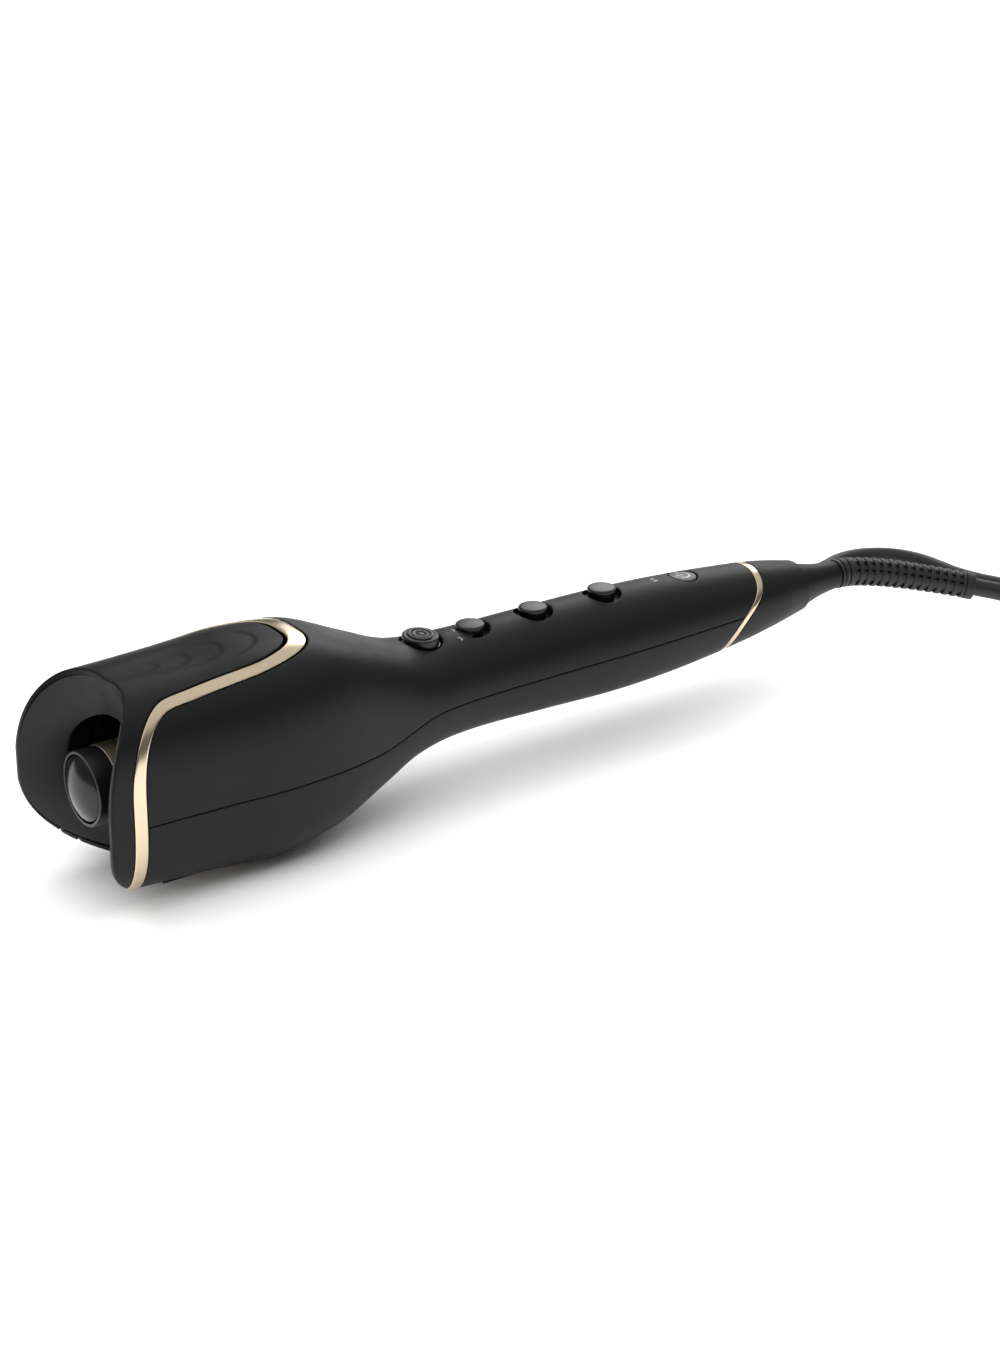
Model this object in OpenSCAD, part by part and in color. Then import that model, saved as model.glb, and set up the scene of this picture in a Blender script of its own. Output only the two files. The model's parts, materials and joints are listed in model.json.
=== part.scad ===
// Automatic hair curler lying on its back, controls up.
// Millimetres. +X runs from the head to the tail, +Y to the far side, +Z up from the table.
// The barrel, the rotor and the swivel share one axis, axis_h above the table.

/* [Head] */
// Width of the head at its widest
head_w = 68; // [67:0.5:69]
// Rise of the head above the barrel axis
head_rise = 41.25; // [40.75:0.25:42]
// Drop of the head below the barrel axis, which is the axis height above the table
axis_h = 39.5; // [39:0.25:40.5]
// Wall thickness of the outer shells
wall = 2.2; // [2:0.1:2.4]
// Radius of the mouth of the hair chamber
mouth_r = 23.5; // [23.3:0.1:23.6]
// Radius of the chamber liner's bore
chamber_r = 24; // [24:0.1:24.3]
// Near edge of the hair slot
slot_near = -22; // [-23:0.5:-21]
// Far edge of the hair slot
slot_far = 10; // [9:0.5:11]

/* [Barrel] */
// Outer diameter of the heated barrel
barrel_d = 28; // [27.6:0.1:28]
// Wall of the heated barrel
barrel_wall = 1.6; // [1.4:0.1:1.8]
// Length of the black tip sleeve
sleeve_l = 8; // [7:0.5:9]

/* [Handle] */
// Width of the handle
grip_w = 38; // [37.5:0.25:38.5]
// Height of the handle
grip_h = 41; // [40.5:0.25:41.5]

/* [Controls] */
// Diameter of the slider knobs
knob_d = 11; // [10.6:0.1:11]
// Diameter of the recess round each slider knob
recess_d = 15; // [15:0.1:15.4]
// Slider travel to each side of the middle
slide_travel = 1.6; // [1.2:0.1:1.6]
// Diameter of the power button
power_d = 11.2; // [11:0.1:11.2]

/* [Drive] */
// Gear module
gear_module = 1; // [1:0.1:1]
// Teeth on the rotor gear
rotor_teeth = 38; // [38:1:38]
// Teeth on the motor pinion
pinion_teeth = 10; // [10:1:10]

/* [Cord] */
// Cord diameter
cord_d = 7.2; // [7:0.1:7.2]
// Stored coil, across the middle of its turns
coil_across = 86.4; // [86:0.2:87]

/* [Hidden] */

$fn = 48;
x_mid = 193;
tip_r = barrel_d / 2;
seat_r = tip_r - 0.25;
bore_r = tip_r - barrel_wall;
half_w = head_w / 2;
eps = 0.01;

// Loft stations along the device: half width, rise and drop at each.
st_x = [0, 40, 65, 90, 112, 130, 155, 190, 225, 255, 285, 303, 318];
st_w = concat(half_w * [0.92, 0.963, 1, 0.94, 0.795, 0.676],
              grip_w / 2 * [1.04, 1, 1, 0.947, 0.855, 0.763, 0.58]);
st_t = concat(head_rise * [0.97, 0.976, 1, 0.945, 0.727, 0.555],
              grip_h / 2 * [1.037, 1.024, 1, 0.922, 0.785, 0.671, 0.52]);
st_b = concat((axis_h - 0.01) * [0.911, 0.956, 1, 0.886, 0.684, 0.519],
              grip_h / 2 * [0.878, 0.915, 0.963, 0.902, 0.744, 0.6, 0.48]);
cols = 48;

function smooth(t) = let (c = min(1, max(0, t))) c * c * (3 - 2 * c);
function mix(a, b, t) = a + (b - a) * t;
function seg(x, i = 0) = i >= len(st_x) - 2 || x < st_x[i + 1] ? i : seg(x, i + 1);
function slope(v, i) = let (a = max(0, i - 1), b = min(len(st_x) - 1, i + 1))
  (v[b] - v[a]) / (st_x[b] - st_x[a]);
function lerp3(v, x) = let (i = seg(x), h = st_x[i + 1] - st_x[i],
    t = max(0, min(1, (x - st_x[i]) / h)))
  (2 * t * t * t - 3 * t * t + 1) * v[i] + (t * t * t - 2 * t * t + t) * h * slope(v, i)
  + (3 * t * t - 2 * t * t * t) * v[i + 1] + (t * t * t - t * t) * h * slope(v, i + 1);
function spow(v, p) = sign(v) * pow(abs(v), p);

// A point of the outer surface at x, angle a from the far side, set in by off.
function skin(x, a, off = 0) = let (
    w = lerp3(st_w, x), t = lerp3(st_t, x), b = lerp3(st_b, x),
    k = smooth((x - 84) / 65), zc = (t - b) / 2 * k, n = mix(3, 2.03, k))
  [x, (w - off) * spow(cos(a), 2 / n),
   zc + (sin(a) > 0 ? t - zc - off : b + zc - off) * spow(sin(a), 2 / n)];

// The hood's front edge: how far forward it reaches at angle a.
function rim_x(a) = let (p = skin(0, a), z = p[2], m = smooth((p[1] + 10) / 20),
    up = 29 * (1 - sqrt(1 - pow(min(1, z / 43), 2))),
    far = 35 * (1 - sqrt(max(0, 1 - pow(z / 36.2, 2)))), near = 4.5 * pow(abs(z) / 26, 5))
  -7.5 + (z > 0 ? up : mix(near, far, m)) - 0.077 * p[1];

// Rows run from the front edge to plain sections at x_join and on.
x_join = 32;
lead_rows = [0, 0.12, 0.35, 0.65];
shell_rows = [32, 40, 50, 59, 67, 75, 82, 89, 95, 101, 107, 113, 119, 125, 132, 140, 150,
              165, 180, 195, 210, 225, 240, 255, 268, 280, 290, 300];
function front_row(f, off) = [for (j = [0:cols - 1]) let (a = 360 * (j + 0.5) / cols)
  skin(mix(rim_x(a), x_join, f), a, off)];
function plain_row(x, off) = [for (j = [0:cols - 1]) skin(x, 360 * (j + 0.5) / cols, off)];
function flat(l) = [for (r = l, p = r) p];

// Closed skin between rings of equal length; the last ring joins the first if loop is true.
module rings(rows, loop = false) {
  n = len(rows[0]);
  m = len(rows);
  last = loop ? m - 1 : m - 2;
  sides = [for (i = [0:last], j = [0:n - 1])
    [i * n + j, i * n + (j + 1) % n, ((i + 1) % m) * n + (j + 1) % n, ((i + 1) % m) * n + j]];
  halves = [for (q = sides, s = [0, 1]) s == 0 ? [q[0], q[1], q[2]] : [q[0], q[2], q[3]]];
  ends = loop ? [] : [[for (j = [n - 1:-1:0]) j], [for (j = [0:n - 1]) (m - 1) * n + j]];
  polyhedron(points = flat(rows), faces = concat(halves, ends), convexity = 8);
}

module dev() translate([-x_mid, 0, axis_h]) children();

// A slab across the device with the side-view outline pts, given as [x, z].
module across(pts, w = 100) rotate([90, 0, 0]) linear_extrude(w, center = true) polygon(pts);

// Side-view edges of the head's trim: up the front, round a corner, back along the top.
function corner(x0, z0, a, b, n) = [for (i = [0:10]) let (s = 90 * i / 10)
  [x0 + a * (1 - spow(cos(s), 2 / n)), z0 + b * spow(sin(s), 2 / n)]];
edge_front = concat([[3.5, -60]], corner(3.5, 4, 22.5, 32.6, 2.2), [[110, 42.8]]);
edge_back = concat([[8.7, -60]], corner(8.7, 4, 21.3, 30, 2.6), [[115, 42]]);

// Side-view parting line between the two shells.
function part_z(x) = mix(-4.5, 1.4, smooth((x - 104) / 36));
part_line = concat([[-30, -4.5], [104, -4.5]], [for (x = [110:6:140]) [x, part_z(x)]], [[330, 1.4]]);

// Side-view front edge of the tail's slanted trim ring.
function ring_x(z, shift = 0) = let (u = 0.0942 * (z - 3.5)) 283.5 + shift + 12 * u / sqrt(1 + u * u);
ring_front = [for (z = [-24:4:24]) [ring_x(z), z]];
ring_back = [for (z = [-24:4:24]) [ring_x(z, 3.3 + 0.03 * z), z]];

// The outer skin as a wall, from the front edge back to the row at x_end.
module shell_tube(x_end = 300) {
  xs = [for (x = shell_rows) if (x <= x_end) x];
  outer = concat([for (f = lead_rows) front_row(f, 0)], [for (x = xs) plain_row(x, 0)]);
  inner = concat([for (f = lead_rows) front_row(f, wall)], [for (x = xs) plain_row(x, wall)]);
  rings(concat(outer, [for (i = [len(inner) - 1:-1:0]) inner[i]]), loop = true);
}

module hair_slot() translate([-30, slot_near, -60]) cube([93, slot_far - slot_near, 60]);

module hood_cover() color("#1d1e20") dev() difference() {
  shell_tube(107);
  across(concat(edge_front, [[110, 70], [400, 70], [400, -60]]));
  hair_slot();
}

module head_trim_strip() color("#b9a27c") dev() difference() {
  shell_tube(107);
  across(concat(edge_back, [[115, 70], [400, 70], [400, -60]]));
  across(concat([[-40, -60]], edge_front, [[110, 70], [-40, 70]]));
  hair_slot();
}

module back_skin() difference() {
  shell_tube();
  across(concat([[-40, -60]], edge_back, [[115, 70], [-40, 70]]));
  across(concat(ring_front, [[400, 24], [400, -24]]));
}

// Shell screws: x, seat of the head, foot of the sleeve.
screw_at = [[151, -17.2, -15.6], [254.5, -17.7, -16.05]];
// Board posts: x, y.
post_at = [[170, -8], [170, 8], [235, -8], [235, 8]];
knob_x = [163, 191.5, 223.5];
curl_x = 141;
power_x = 262.5;
led_x = 248.5;
floor_z = 17.6;

module upper_shell() color("#1d1e20") dev() difference() {
  back_skin();
  across(concat(part_line, [[330, -60], [-30, -60]]));
  for (x = knob_x) translate([x, 0, 8]) cylinder(r = recess_d / 2, h = 20);
  translate([curl_x, 0, 8]) scale_disc(8, 8.4, 22);
  translate([power_x, 0, 8]) cylinder(r = power_d / 2 + 0.35, h = 20);
  for (y = [-1.1, 1.1]) translate([led_x - 0.9, y - 0.4, 8]) cube([1.8, 0.8, 16]);
}

// An oval disc: half axes rx and ry, height h.
module scale_disc(rx, ry, h) linear_extrude(h) polygon([for (i = [0:39]) [rx * cos(9 * i), ry * sin(9 * i)]]);

module lower_shell() color("#1d1e20") dev() difference() {
  back_skin();
  across(concat(part_line, [[330, 60], [-30, 60]]));
  hair_slot();
  for (p = screw_at) {
    translate([p[0], 0, -30]) cylinder(r = 1.5, h = 25);
    translate([p[0], 0, -30]) cylinder(r = 2.9, h = 30 + p[1]);
  }
}

// Deck under the upper shell: floors of the control recesses, and the screws' upper bosses.
module control_deck() color("#1b1c1e") dev() difference() {
  union() {
    translate([131, -7.5, 12.8]) cube([120, 15, 1.5]);
    translate([250, -4, 12.8]) cube([23, 8, 1.5]);
    for (x = knob_x) translate([x, 0, 14.2]) cylinder(r = recess_d / 2 - 0.1, h = floor_z - 14.2);
    translate([curl_x, 0, 14.2]) scale_disc(7.9, 8.3, floor_z - 14.8);
    translate([power_x, 0, 14.2]) cylinder(r = power_d / 2 + 0.25, h = 1.4);
    for (p = screw_at) translate([p[0], 0, 2]) cylinder(r = 3, h = 10.9);
  }
  for (x = knob_x) translate([x - 1.8, -3.5, 8]) cube([3.6, 7, 14]);
  translate([curl_x, 0, 8]) cylinder(r = 3, h = 14);
  translate([power_x, 0, 8]) cylinder(r = 2.4, h = 14);
  for (p = screw_at) translate([p[0], 0, 0]) cylinder(r = 1.15, h = 10);
  for (y = [-1.1, 1.1]) translate([led_x - 0.9, y - 0.4, 8]) cube([1.8, 0.8, 12]);
}

// Chassis in the lower shell: plate, board posts and screw sleeves.
module chassis() color("#2c2d30") dev() difference() {
  union() {
    translate([120, -11, -2.4]) cube([154, 22, 1.4]);
    for (p = post_at) translate([p[0], p[1], -2]) cylinder(r = 2.2, h = 2.4);
    for (p = screw_at) translate([p[0], 0, p[2]]) cylinder(r = 3.4, h = 1.9 - p[2]);
  }
  for (p = post_at) translate([p[0], p[1], -8]) cylinder(r = 0.9, h = 10);
  for (p = screw_at) translate([p[0], 0, -30]) cylinder(r = 1.5, h = 40);
}

// Flared mouth of the hood, from the front edge in to the chamber.
function bezel_pt(a, f, back) = let (
    p = skin(0, a, wall + 0.05), x0 = rim_x(a), x1 = 0.4 * x0 + 10, d = sqrt(p[1] * p[1] + p[2] * p[2]),
    r = mix(d, mouth_r, f))
  [mix(x0 + 0.6, x1, pow(f, 1.3)) + back, p[1] / d * r, p[2] / d * r];
module front_bezel() color("#26272a") dev() difference() {
  steps = [0, 0.2, 0.4, 0.6, 0.8, 1];
  rows = concat([for (f = steps) [for (j = [0:cols - 1]) bezel_pt(360 * (j + 0.5) / cols, f, 0)]],
                [for (f = [1, 0.6, 0.3, 0]) [for (j = [0:cols - 1])
                  bezel_pt(360 * (j + 0.5) / cols, f, 1.7)]]);
  rings(rows, loop = true);
  hair_slot();
}

// Black liner round the hair chamber, open to the slot, with a wall down each side of it.
liner_x0 = 18.5;
liner_x1 = 70.4;
module liner_slot() translate([-30, slot_near + 1.5, -60]) cube([93, slot_far - slot_near - 3, 60]);
module chamber_liner() color("#0c0c0e") dev() difference() {
  union() {
    translate([liner_x0, 0, 0]) rotate([0, 90, 0]) cylinder(r = chamber_r + 1.5, h = liner_x1 - liner_x0);
    translate([liner_x0, slot_near, -33]) cube([43, 1.5, 24]);
    translate([liner_x0, slot_far - 1.5, -33]) cube([43, 1.5, 14]);
  }
  translate([liner_x0 - 1, 0, 0]) rotate([0, 90, 0]) cylinder(r = chamber_r, h = liner_x1 - liner_x0 + 2);
  liner_slot();
}

module tail_trim_ring() color("#b9a27c") dev() intersection() {
  tail_skin(wall);
  across(concat(ring_front, [for (i = [len(ring_back) - 1:-1:0]) ring_back[i]]));
}

// Closed tail: outer skin less a bore for the swivel bush.
module tail_skin(t) difference() {
  rings([for (x = [262, 270, 278, 285, 291, 297, 303, 308, 313, 317, 318.4, 318.8]) tail_row(x)]);
  translate([250, 0, 0]) rotate([0, 90, 0]) cylinder(r1 = 13.2, r2 = 10.2, h = 53.2, $fn = 32);
  translate([250, 0, 0]) rotate([0, 90, 0]) cylinder(r = 6.1, h = 80, $fn = 32);
}
function tail_row(x) = plain_row(x, x < 318 ? 0 : x < 318.5 ? 0.15 : 0.9);
module tail_cap() color("#1d1e20") dev() difference() {
  tail_skin(wall);
  across(concat([[200, -24]], ring_back, [[200, 24]]));
}

module tube_x(x0, x1, r_out, r_in) translate([x0, 0, 0]) rotate([0, 90, 0]) difference() {
  cylinder(r = r_out, h = x1 - x0);
  translate([0, 0, -1]) cylinder(r = r_in, h = x1 - x0 + 2);
}

module rod_x(x0, x1, r) translate([x0, 0, 0]) rotate([0, 90, 0]) cylinder(r = r, h = x1 - x0);

module heated_barrel() color("#c9ad7f") dev() {
  tube_x(sleeve_l, 64.5, tip_r, bore_r);
  tube_x(64.5, 74, seat_r, bore_r);
}

module barrel_tip_sleeve() color("#141416") dev() rotate([0, 90, 0]) rotate_extrude() polygon([
  [11.6, 0.4], [11.9, 0], [seat_r - 0.6, 0], [seat_r, 0.6], [seat_r, sleeve_l], [bore_r, sleeve_l],
  [bore_r, sleeve_l + 6], [bore_r - 1.6, sleeve_l + 6], [bore_r - 1.6, 3], [11.6, 3]
]);

// Domed cap, pushed into the sleeve.
dome_r = 17.6;
module tip_dome_cap() color("#2b2c2e") dev() union() {
  intersection() {
    translate([-3.6 + dome_r, 0, 0]) sphere(r = dome_r);
    rod_x(-5, 3, 11.1);
  }
  rod_x(2.5, 9, bore_r - 1.6);
}

module spreader_half(s) difference() {
  rod_x(sleeve_l + 8, 64, bore_r - 0.1);
  translate([0, -20, s > 0 ? -40 + 1.4 : -1.4]) cube([80, 40, 40]);
}
module heat_spreader_top() color("#a9abae") dev() spreader_half(1);
module heat_spreader_bottom() color("#a9abae") dev() spreader_half(-1);
module ptc_heater() color("#7b6a58") dev() translate([sleeve_l + 9, -8, -1.4]) cube([46, 16, 2.8]);
module thermal_fuse() color("#c8b48c") dev() rod_x(65, 75, 2);

// Heat-proof base: grips the barrel's end and carries the rotor on its sleeve.
hub_r = 16.5;
module barrel_base() color("#3a3632") dev() difference() {
  union() {
    rod_x(65, 81, hub_r);
    rod_x(79, 82, 22);
    rod_x(82, 96, 15);
  }
  rod_x(60, 74, seat_r);
  rod_x(70, 100, 9);
}

// Rotor: a disc that carries the hair hook and turns on the base's sleeve.
run_r = hub_r + 0.06;
module rotor() color("#101012") dev() difference() {
  rod_x(66, 70, chamber_r - 0.5);
  rod_x(60, 90, run_r);
}
module hair_hook() color("#101012") dev() rotate([168, 0, 0]) translate([22, 0, 0]) rotate([0, 90, 0]) {
  hook_bar(44);
  hook_bar(4, 17.8);
}
module hook_bar(h, r0 = 20.4) rotate([0, 0, 82]) rotate_extrude(angle = 16)
  translate([r0, 0]) square([23.2 - r0, h]);

// Spur gear with straight-flanked teeth.
module spur(teeth, h) linear_extrude(h) polygon([for (i = [0:teeth - 1], k = [0:3]) let (
    r = gear_module * (k < 2 ? teeth / 2 - 1.2 : teeth / 2 + 0.9), w = 360 / teeth,
    a = w * (i + [-0.28, 0.28, 0.4, 0.6][k]))
  [r * cos(a), r * sin(a)]]);
gear_gap = gear_module * (rotor_teeth + pinion_teeth) / 2 + 0.12;
module rotor_gear() color("#d9d4c8") dev() difference() {
  translate([70, 0, 0]) rotate([0, 90, 0]) spur(rotor_teeth, 6);
  rod_x(60, 90, run_r);
}
module at_motor() translate([0, 0, gear_gap]) children();
module motor_pinion() color("#c9a45a") dev() at_motor() difference() {
  translate([71, 0, 0]) rotate([0, 90, 0]) rotate([0, 0, 18]) spur(pinion_teeth, 5);
  rod_x(60, 90, 1.25);
}
module motor_shaft() color("#b8babd") dev() at_motor() rod_x(71, 84.7, 1.25);
module gear_motor() color("#8f9194") dev() at_motor() difference() {
  rod_x(82, 101, 7.4);
  rod_x(80, 85, 1.6);
  for (y = [-4.5, 4.5]) translate([0, y, 0]) rod_x(80, 84, 0.8);
}
module motor_bracket() color("#9a9ca0") dev() difference() {
  intersection() {
    rod_x(79.5, 81, 31);
    translate([70, -13, 10]) cube([20, 26, 30]);
  }
  rod_x(70, 90, 22.1);
  at_motor() rod_x(70, 90, 2);
  for (y = [-4.5, 4.5]) translate([0, y, gear_gap]) rod_x(70, 90, 0.9);
}
module bracket_screws() color("#7d7f83") dev() for (y = [-4.5, 4.5]) translate([0, y, gear_gap]) {
  rod_x(78.3, 79.5, 1.5);
  rod_x(79.4, 83.4, 0.8);
}

// Conical coil spring pressed flat, so that each turn lies inside the last.
module coil_spring(r0, r1, wire, turns, h) {
  n = turns * 16;
  rings([for (i = [0:n]) let (a = 360 * turns * i / n, r = mix(r0, r1, i / n)) [for (k = [0:5])
    let (b = 60 * k) [(r + wire * cos(b)) * cos(a), (r + wire * cos(b)) * sin(a),
     wire + (h - 2 * wire) * i / n + wire * sin(b)]]]);
}

module curl_button() color("#1a1b1d") dev() translate([curl_x, 0, 0]) {
  translate([0, 0, 20.2]) scale_disc(6.3, 7.5, 3.2);
  translate([0, 0, 23.4]) scale_disc(5.7, 6.9, 0.5);
  translate([0, 0, 19.4]) scale_disc(7.2, 7.7, 0.8);
  translate([0, 0, 10.2]) cylinder(r = 1.8, h = 9.4);
}
module curl_spring() color("#b8babd") dev() translate([curl_x, 0, floor_z - 0.6])
  coil_spring(6.6, 4, 0.35, 2, 0.85);
module curl_switch() color("#333538") dev() translate([curl_x, 0, 0]) {
  translate([-3, -3, 2]) cube([6, 6, 4.5]);
  translate([0, 0, 6.5]) cylinder(r = 1.6, h = 1.8);
}

// Round slider knob with its stem down to the switch.
module slider_at(x) dev() translate([x, 0, 0]) {
  rotate_extrude() polygon([[0, floor_z + 0.3], [knob_d / 2, floor_z + 0.3], [knob_d / 2, 21.6],
    [knob_d / 2 - 0.5, 22.3], [knob_d / 2 - 1.4, 22.6], [0, 22.7]]);
  translate([-1.2, -1.5, 7.4]) cube([2.4, 3, floor_z - 7]);
}
module direction_slider() color("#1a1b1d") slider_at(knob_x[0]);
module temperature_slider() color("#1a1b1d") slider_at(knob_x[1]);
module timer_slider() color("#1a1b1d") slider_at(knob_x[2]);
module switch_at(x) dev() translate([x - 4.5, -4.5, 2]) cube([9, 9, 5]);
module direction_switch() color("#c9c4b8") switch_at(knob_x[0]);
module temperature_switch() color("#c9c4b8") switch_at(knob_x[1]);
module timer_switch() color("#c9c4b8") switch_at(knob_x[2]);

module power_button() color("#1a1b1d") dev() translate([power_x, 0, 0]) {
  translate([0, 0, 16.3]) cylinder(r = power_d / 2, h = 1.5);
  translate([0, 0, 17.8]) cylinder(r1 = power_d / 2, r2 = power_d / 2 - 0.6, h = 0.4);
  translate([0, 0, 7.4]) cylinder(r = 1.5, h = 9);
}
module power_switch() color("#333538") dev() translate([power_x, 0, 0]) {
  translate([-3, -3, 2]) cube([6, 6, 3.4]);
  translate([0, 0, 5.4]) cylinder(r = 1.3, h = 1);
}
module led_lenses() color("#d8dbe0") dev() for (y = [-1.1, 1.1])
  translate([led_x - 0.85, y - 0.35, 12.5]) cube([1.7, 0.7, 6.6]);
module indicator_leds() color("#f2f2ee") dev() for (y = [-1.1, 1.1])
  translate([led_x - 0.85, y - 0.5, 2]) cube([1.7, 1, 1]);

module control_board() color("#1f5a38") dev() difference() {
  translate([116, -14, 0.4]) cube([160, 28, 1.6]);
  for (p = post_at) translate([p[0], p[1], -2]) cylinder(r = 1.1, h = 6);
  for (p = screw_at) translate([p[0], 0, -2]) cylinder(r = 3.8, h = 6);
}
module board_screws() color("#8a8c90") dev() for (p = post_at) translate([p[0], p[1], 0]) {
  translate([0, 0, 2]) cylinder(r = 1.8, h = 1.1);
  translate([0, 0, -6]) cylinder(r = 0.9, h = 8.1);
}
module shell_screws() color("#8a8c90") dev() for (p = screw_at) translate([p[0], 0, p[1]]) {
  translate([0, 0, -1]) cylinder(r = 2.6, h = 1);
  translate([0, 0, -0.1]) cylinder(r = 1.15, h = 7 - p[1]);
}

// Swivel: a fixed bush in the tail cap and a cone turning in it.
module swivel_bush() color("#2a2b2d") dev() difference() {
  union() {
    rod_x(303, 318.5, 6);
    rod_x(299.5, 303, 8);
  }
  rod_x(290, 330, 4.56);
}
module swivel_cone() color("#1d1e20") dev() difference() {
  rotate([0, 90, 0]) rotate_extrude() polygon([[0, 298.3], [6.2, 298.3], [6.2, 299.2], [4.5, 299.2],
    [4.5, 319], [8.6, 319], [9.2, 319.5], [8.3, 323], [7.2, 327], [6.4, 331], [5.9, 335],
    [5.6, 340], [0, 340]]);
  rod_x(290, 345, 2);
}
module slip_rings() color("#c9a45a") dev() {
  tube_x(294.3, 298.3, 3, 2);
  for (x = [294.9, 296.9]) tube_x(x, x + 1, 5, 2.9);
}
module contact_fingers() color("#c9a45a") dev() for (x = [295, 297])
  translate([x, -1, -10.5]) cube([0.8, 2, 5.2]);

// Cord route, on the cord's centre line, from the table's level up.
relief_a = [147.3, 0, axis_h];
relief_b = [200, -25, 30];
relief_ta = [44, 0, 0];
relief_tb = [44, -29, -11];
lead_pts = [
  [200, -25, 30], [208, -30.5, 28], [215.5, -35.5, 25.5], [223.5, -39, 22], [232.5, -40.5, 18],
  [242, -38.5, 13.8], [251, -33.5, 10], [258, -25, 7], [261.5, -15, 5], [262, -4.5, 4.1],
  [259, 6, 3.8], [254, 15.5, 3.7], [249.5, 25, 3.7], [246.5, 35, 3.7], [245.5, 45, 3.7],
  [244, 55, 3.7], [240, 64, 3.7], [233.5, 70.5, 3.7], [225, 74.5, 3.7], [215.5, 75, 3.7],
  [206, 72.5, 3.7], [190, 68.5, 3.7], [165, 65.5, 3.7], [130, 61.5, 3.7], [94, 55, 3.7],
  [59, 49.5, 3.7], [24, 47.5, 3.8], [-4, 46.5, 4], [-27, 42.5, 4.4]
];
coil_at = [-72, 77];
coil_r = coil_across / 2;
coil_z = 0.8;
tail_pts = [[-25, 96, 11], [-20.5, 88.5, 9.8], [-14.5, 81, 8.4], [-7, 75, 7.3], [4, 72, 6.9]];
plug_at = [4, 72, 6.9];

function hermite(a, b, ta, tb, t) = (2 * t * t * t - 3 * t * t + 1) * a + (t * t * t - 2 * t * t + t) * ta
  + (3 * t * t - 2 * t * t * t) * b + (t * t * t - t * t) * tb;
function unit(v) = v / norm(v);
function along(pts, i, t) = let (n = len(pts) - 1, a = pts[i], b = pts[i + 1],
    ta = i == 0 ? b - a : (b - pts[i - 1]) / 2, tb = i + 1 == n ? b - a : (pts[i + 2] - a) / 2)
  hermite(a, b, ta, tb, t);

// A round section of radius r about p, square to the direction d.
function ring_at(p, d, r, n) = let (s = unit(cross(d, [0, 0, 1])), u = cross(s, d))
  [for (k = [0:n - 1]) p + r * (s * cos(360 * k / n) + u * sin(360 * k / n))];
function way(pts, i) = unit(i == 0 ? pts[1] - pts[0] : i == len(pts) - 1 ? pts[i] - pts[i - 1]
  : unit(pts[i + 1] - pts[i]) + unit(pts[i] - pts[i - 1]));
module sweep(pts, r, n) rings([for (i = [0:len(pts) - 1]) ring_at(pts[i], way(pts, i), r, n)]);

// Ribbed strain relief: plain at the cone, then ribs, then an end collar.
function relief_at(t) = hermite(relief_a, relief_b, relief_ta, relief_tb, t);
function relief_way(t) = unit(relief_at(min(1, t + 0.01)) - relief_at(max(0, t - 0.01)));
relief_ribs = 14;
relief_steps = concat([[0, 5.6], [0.03, 5.6]], [for (i = [0:relief_ribs], k = [0:3])
  [0.045 + (0.855 * (i + [0, 0.02, 0.56, 0.58][k])) / (relief_ribs + 1),
   mix(5.9, 5.3, i / relief_ribs) - ([1, 0, 0, 1][k] * 1.1)]], [[0.915, 4.5], [0.92, 5.4], [1, 5.2]]);
module strain_relief() color("#19191b") rings([for (s = relief_steps)
  ring_at(relief_at(s[0]), relief_way(s[0]), s[1], 14)]);

module cord_lead() color("#131315") sweep(concat([for (i = [0:len(lead_pts) - 2], t = [0, 0.5])
  along(lead_pts, i, t)], [lead_pts[len(lead_pts) - 1]]), cord_d / 2, 10);
module cord_coil() color("#131315") translate([coil_at[0], coil_at[1], coil_z]) rotate_extrude()
  translate([coil_r - 1.5 * cord_d, 0]) square([3 * cord_d, 2 * cord_d]);
module cord_tie() color("#0e0e10") translate([coil_at[0], coil_at[1], 0]) rotate([0, 0, 100]) difference() {
  rotate_extrude(angle = 12)
    translate([coil_r - 1.5 * cord_d - 0.8, 0]) square([3 * cord_d + 1.6, 2 * cord_d + 1.6]);
  rotate([0, 0, -5]) rotate_extrude(angle = 30)
    translate([coil_r - 1.5 * cord_d, coil_z]) square([3 * cord_d, 2 * cord_d]);
}
module cord_tail() color("#131315") sweep(tail_pts, cord_d / 2, 10);
module plug_body() color("#161618") translate([plug_at[0], plug_at[1], 0.05]) linear_extrude(13.7)
  polygon([[0, -5], [12, -5.6], [20, -12], [25, -16.4], [28, -17.6], [35, -17.6], [36, -16.6], [36, 16.6],
    [35, 17.6], [28, 17.6], [25, 16.4], [20, 12], [12, 5.6], [0, 5]]);
module plug_pins() color("#c4c6c9") for (y = [-9.3, 9.3])
  translate([plug_at[0] + 36, plug_at[1] + y, plug_at[2]])
  rotate([0, 90, 0]) cylinder(r = 2, h = 19);

hood_cover();
front_bezel();
chamber_liner();
head_trim_strip();
upper_shell();
lower_shell();
tail_trim_ring();
tail_cap();
heated_barrel();
barrel_tip_sleeve();
tip_dome_cap();
heat_spreader_top();
heat_spreader_bottom();
ptc_heater();
thermal_fuse();
barrel_base();
rotor();
hair_hook();
rotor_gear();
motor_pinion();
motor_shaft();
gear_motor();
motor_bracket();
bracket_screws();
curl_button();
curl_spring();
curl_switch();
direction_slider();
temperature_slider();
timer_slider();
direction_switch();
temperature_switch();
timer_switch();
power_button();
power_switch();
led_lenses();
indicator_leds();
control_deck();
chassis();
control_board();
board_screws();
shell_screws();
swivel_bush();
swivel_cone();
slip_rings();
contact_fingers();
strain_relief();
cord_lead();
cord_coil();
cord_tail();
cord_tie();
plug_body();
plug_pins();
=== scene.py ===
import json
import math

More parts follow.
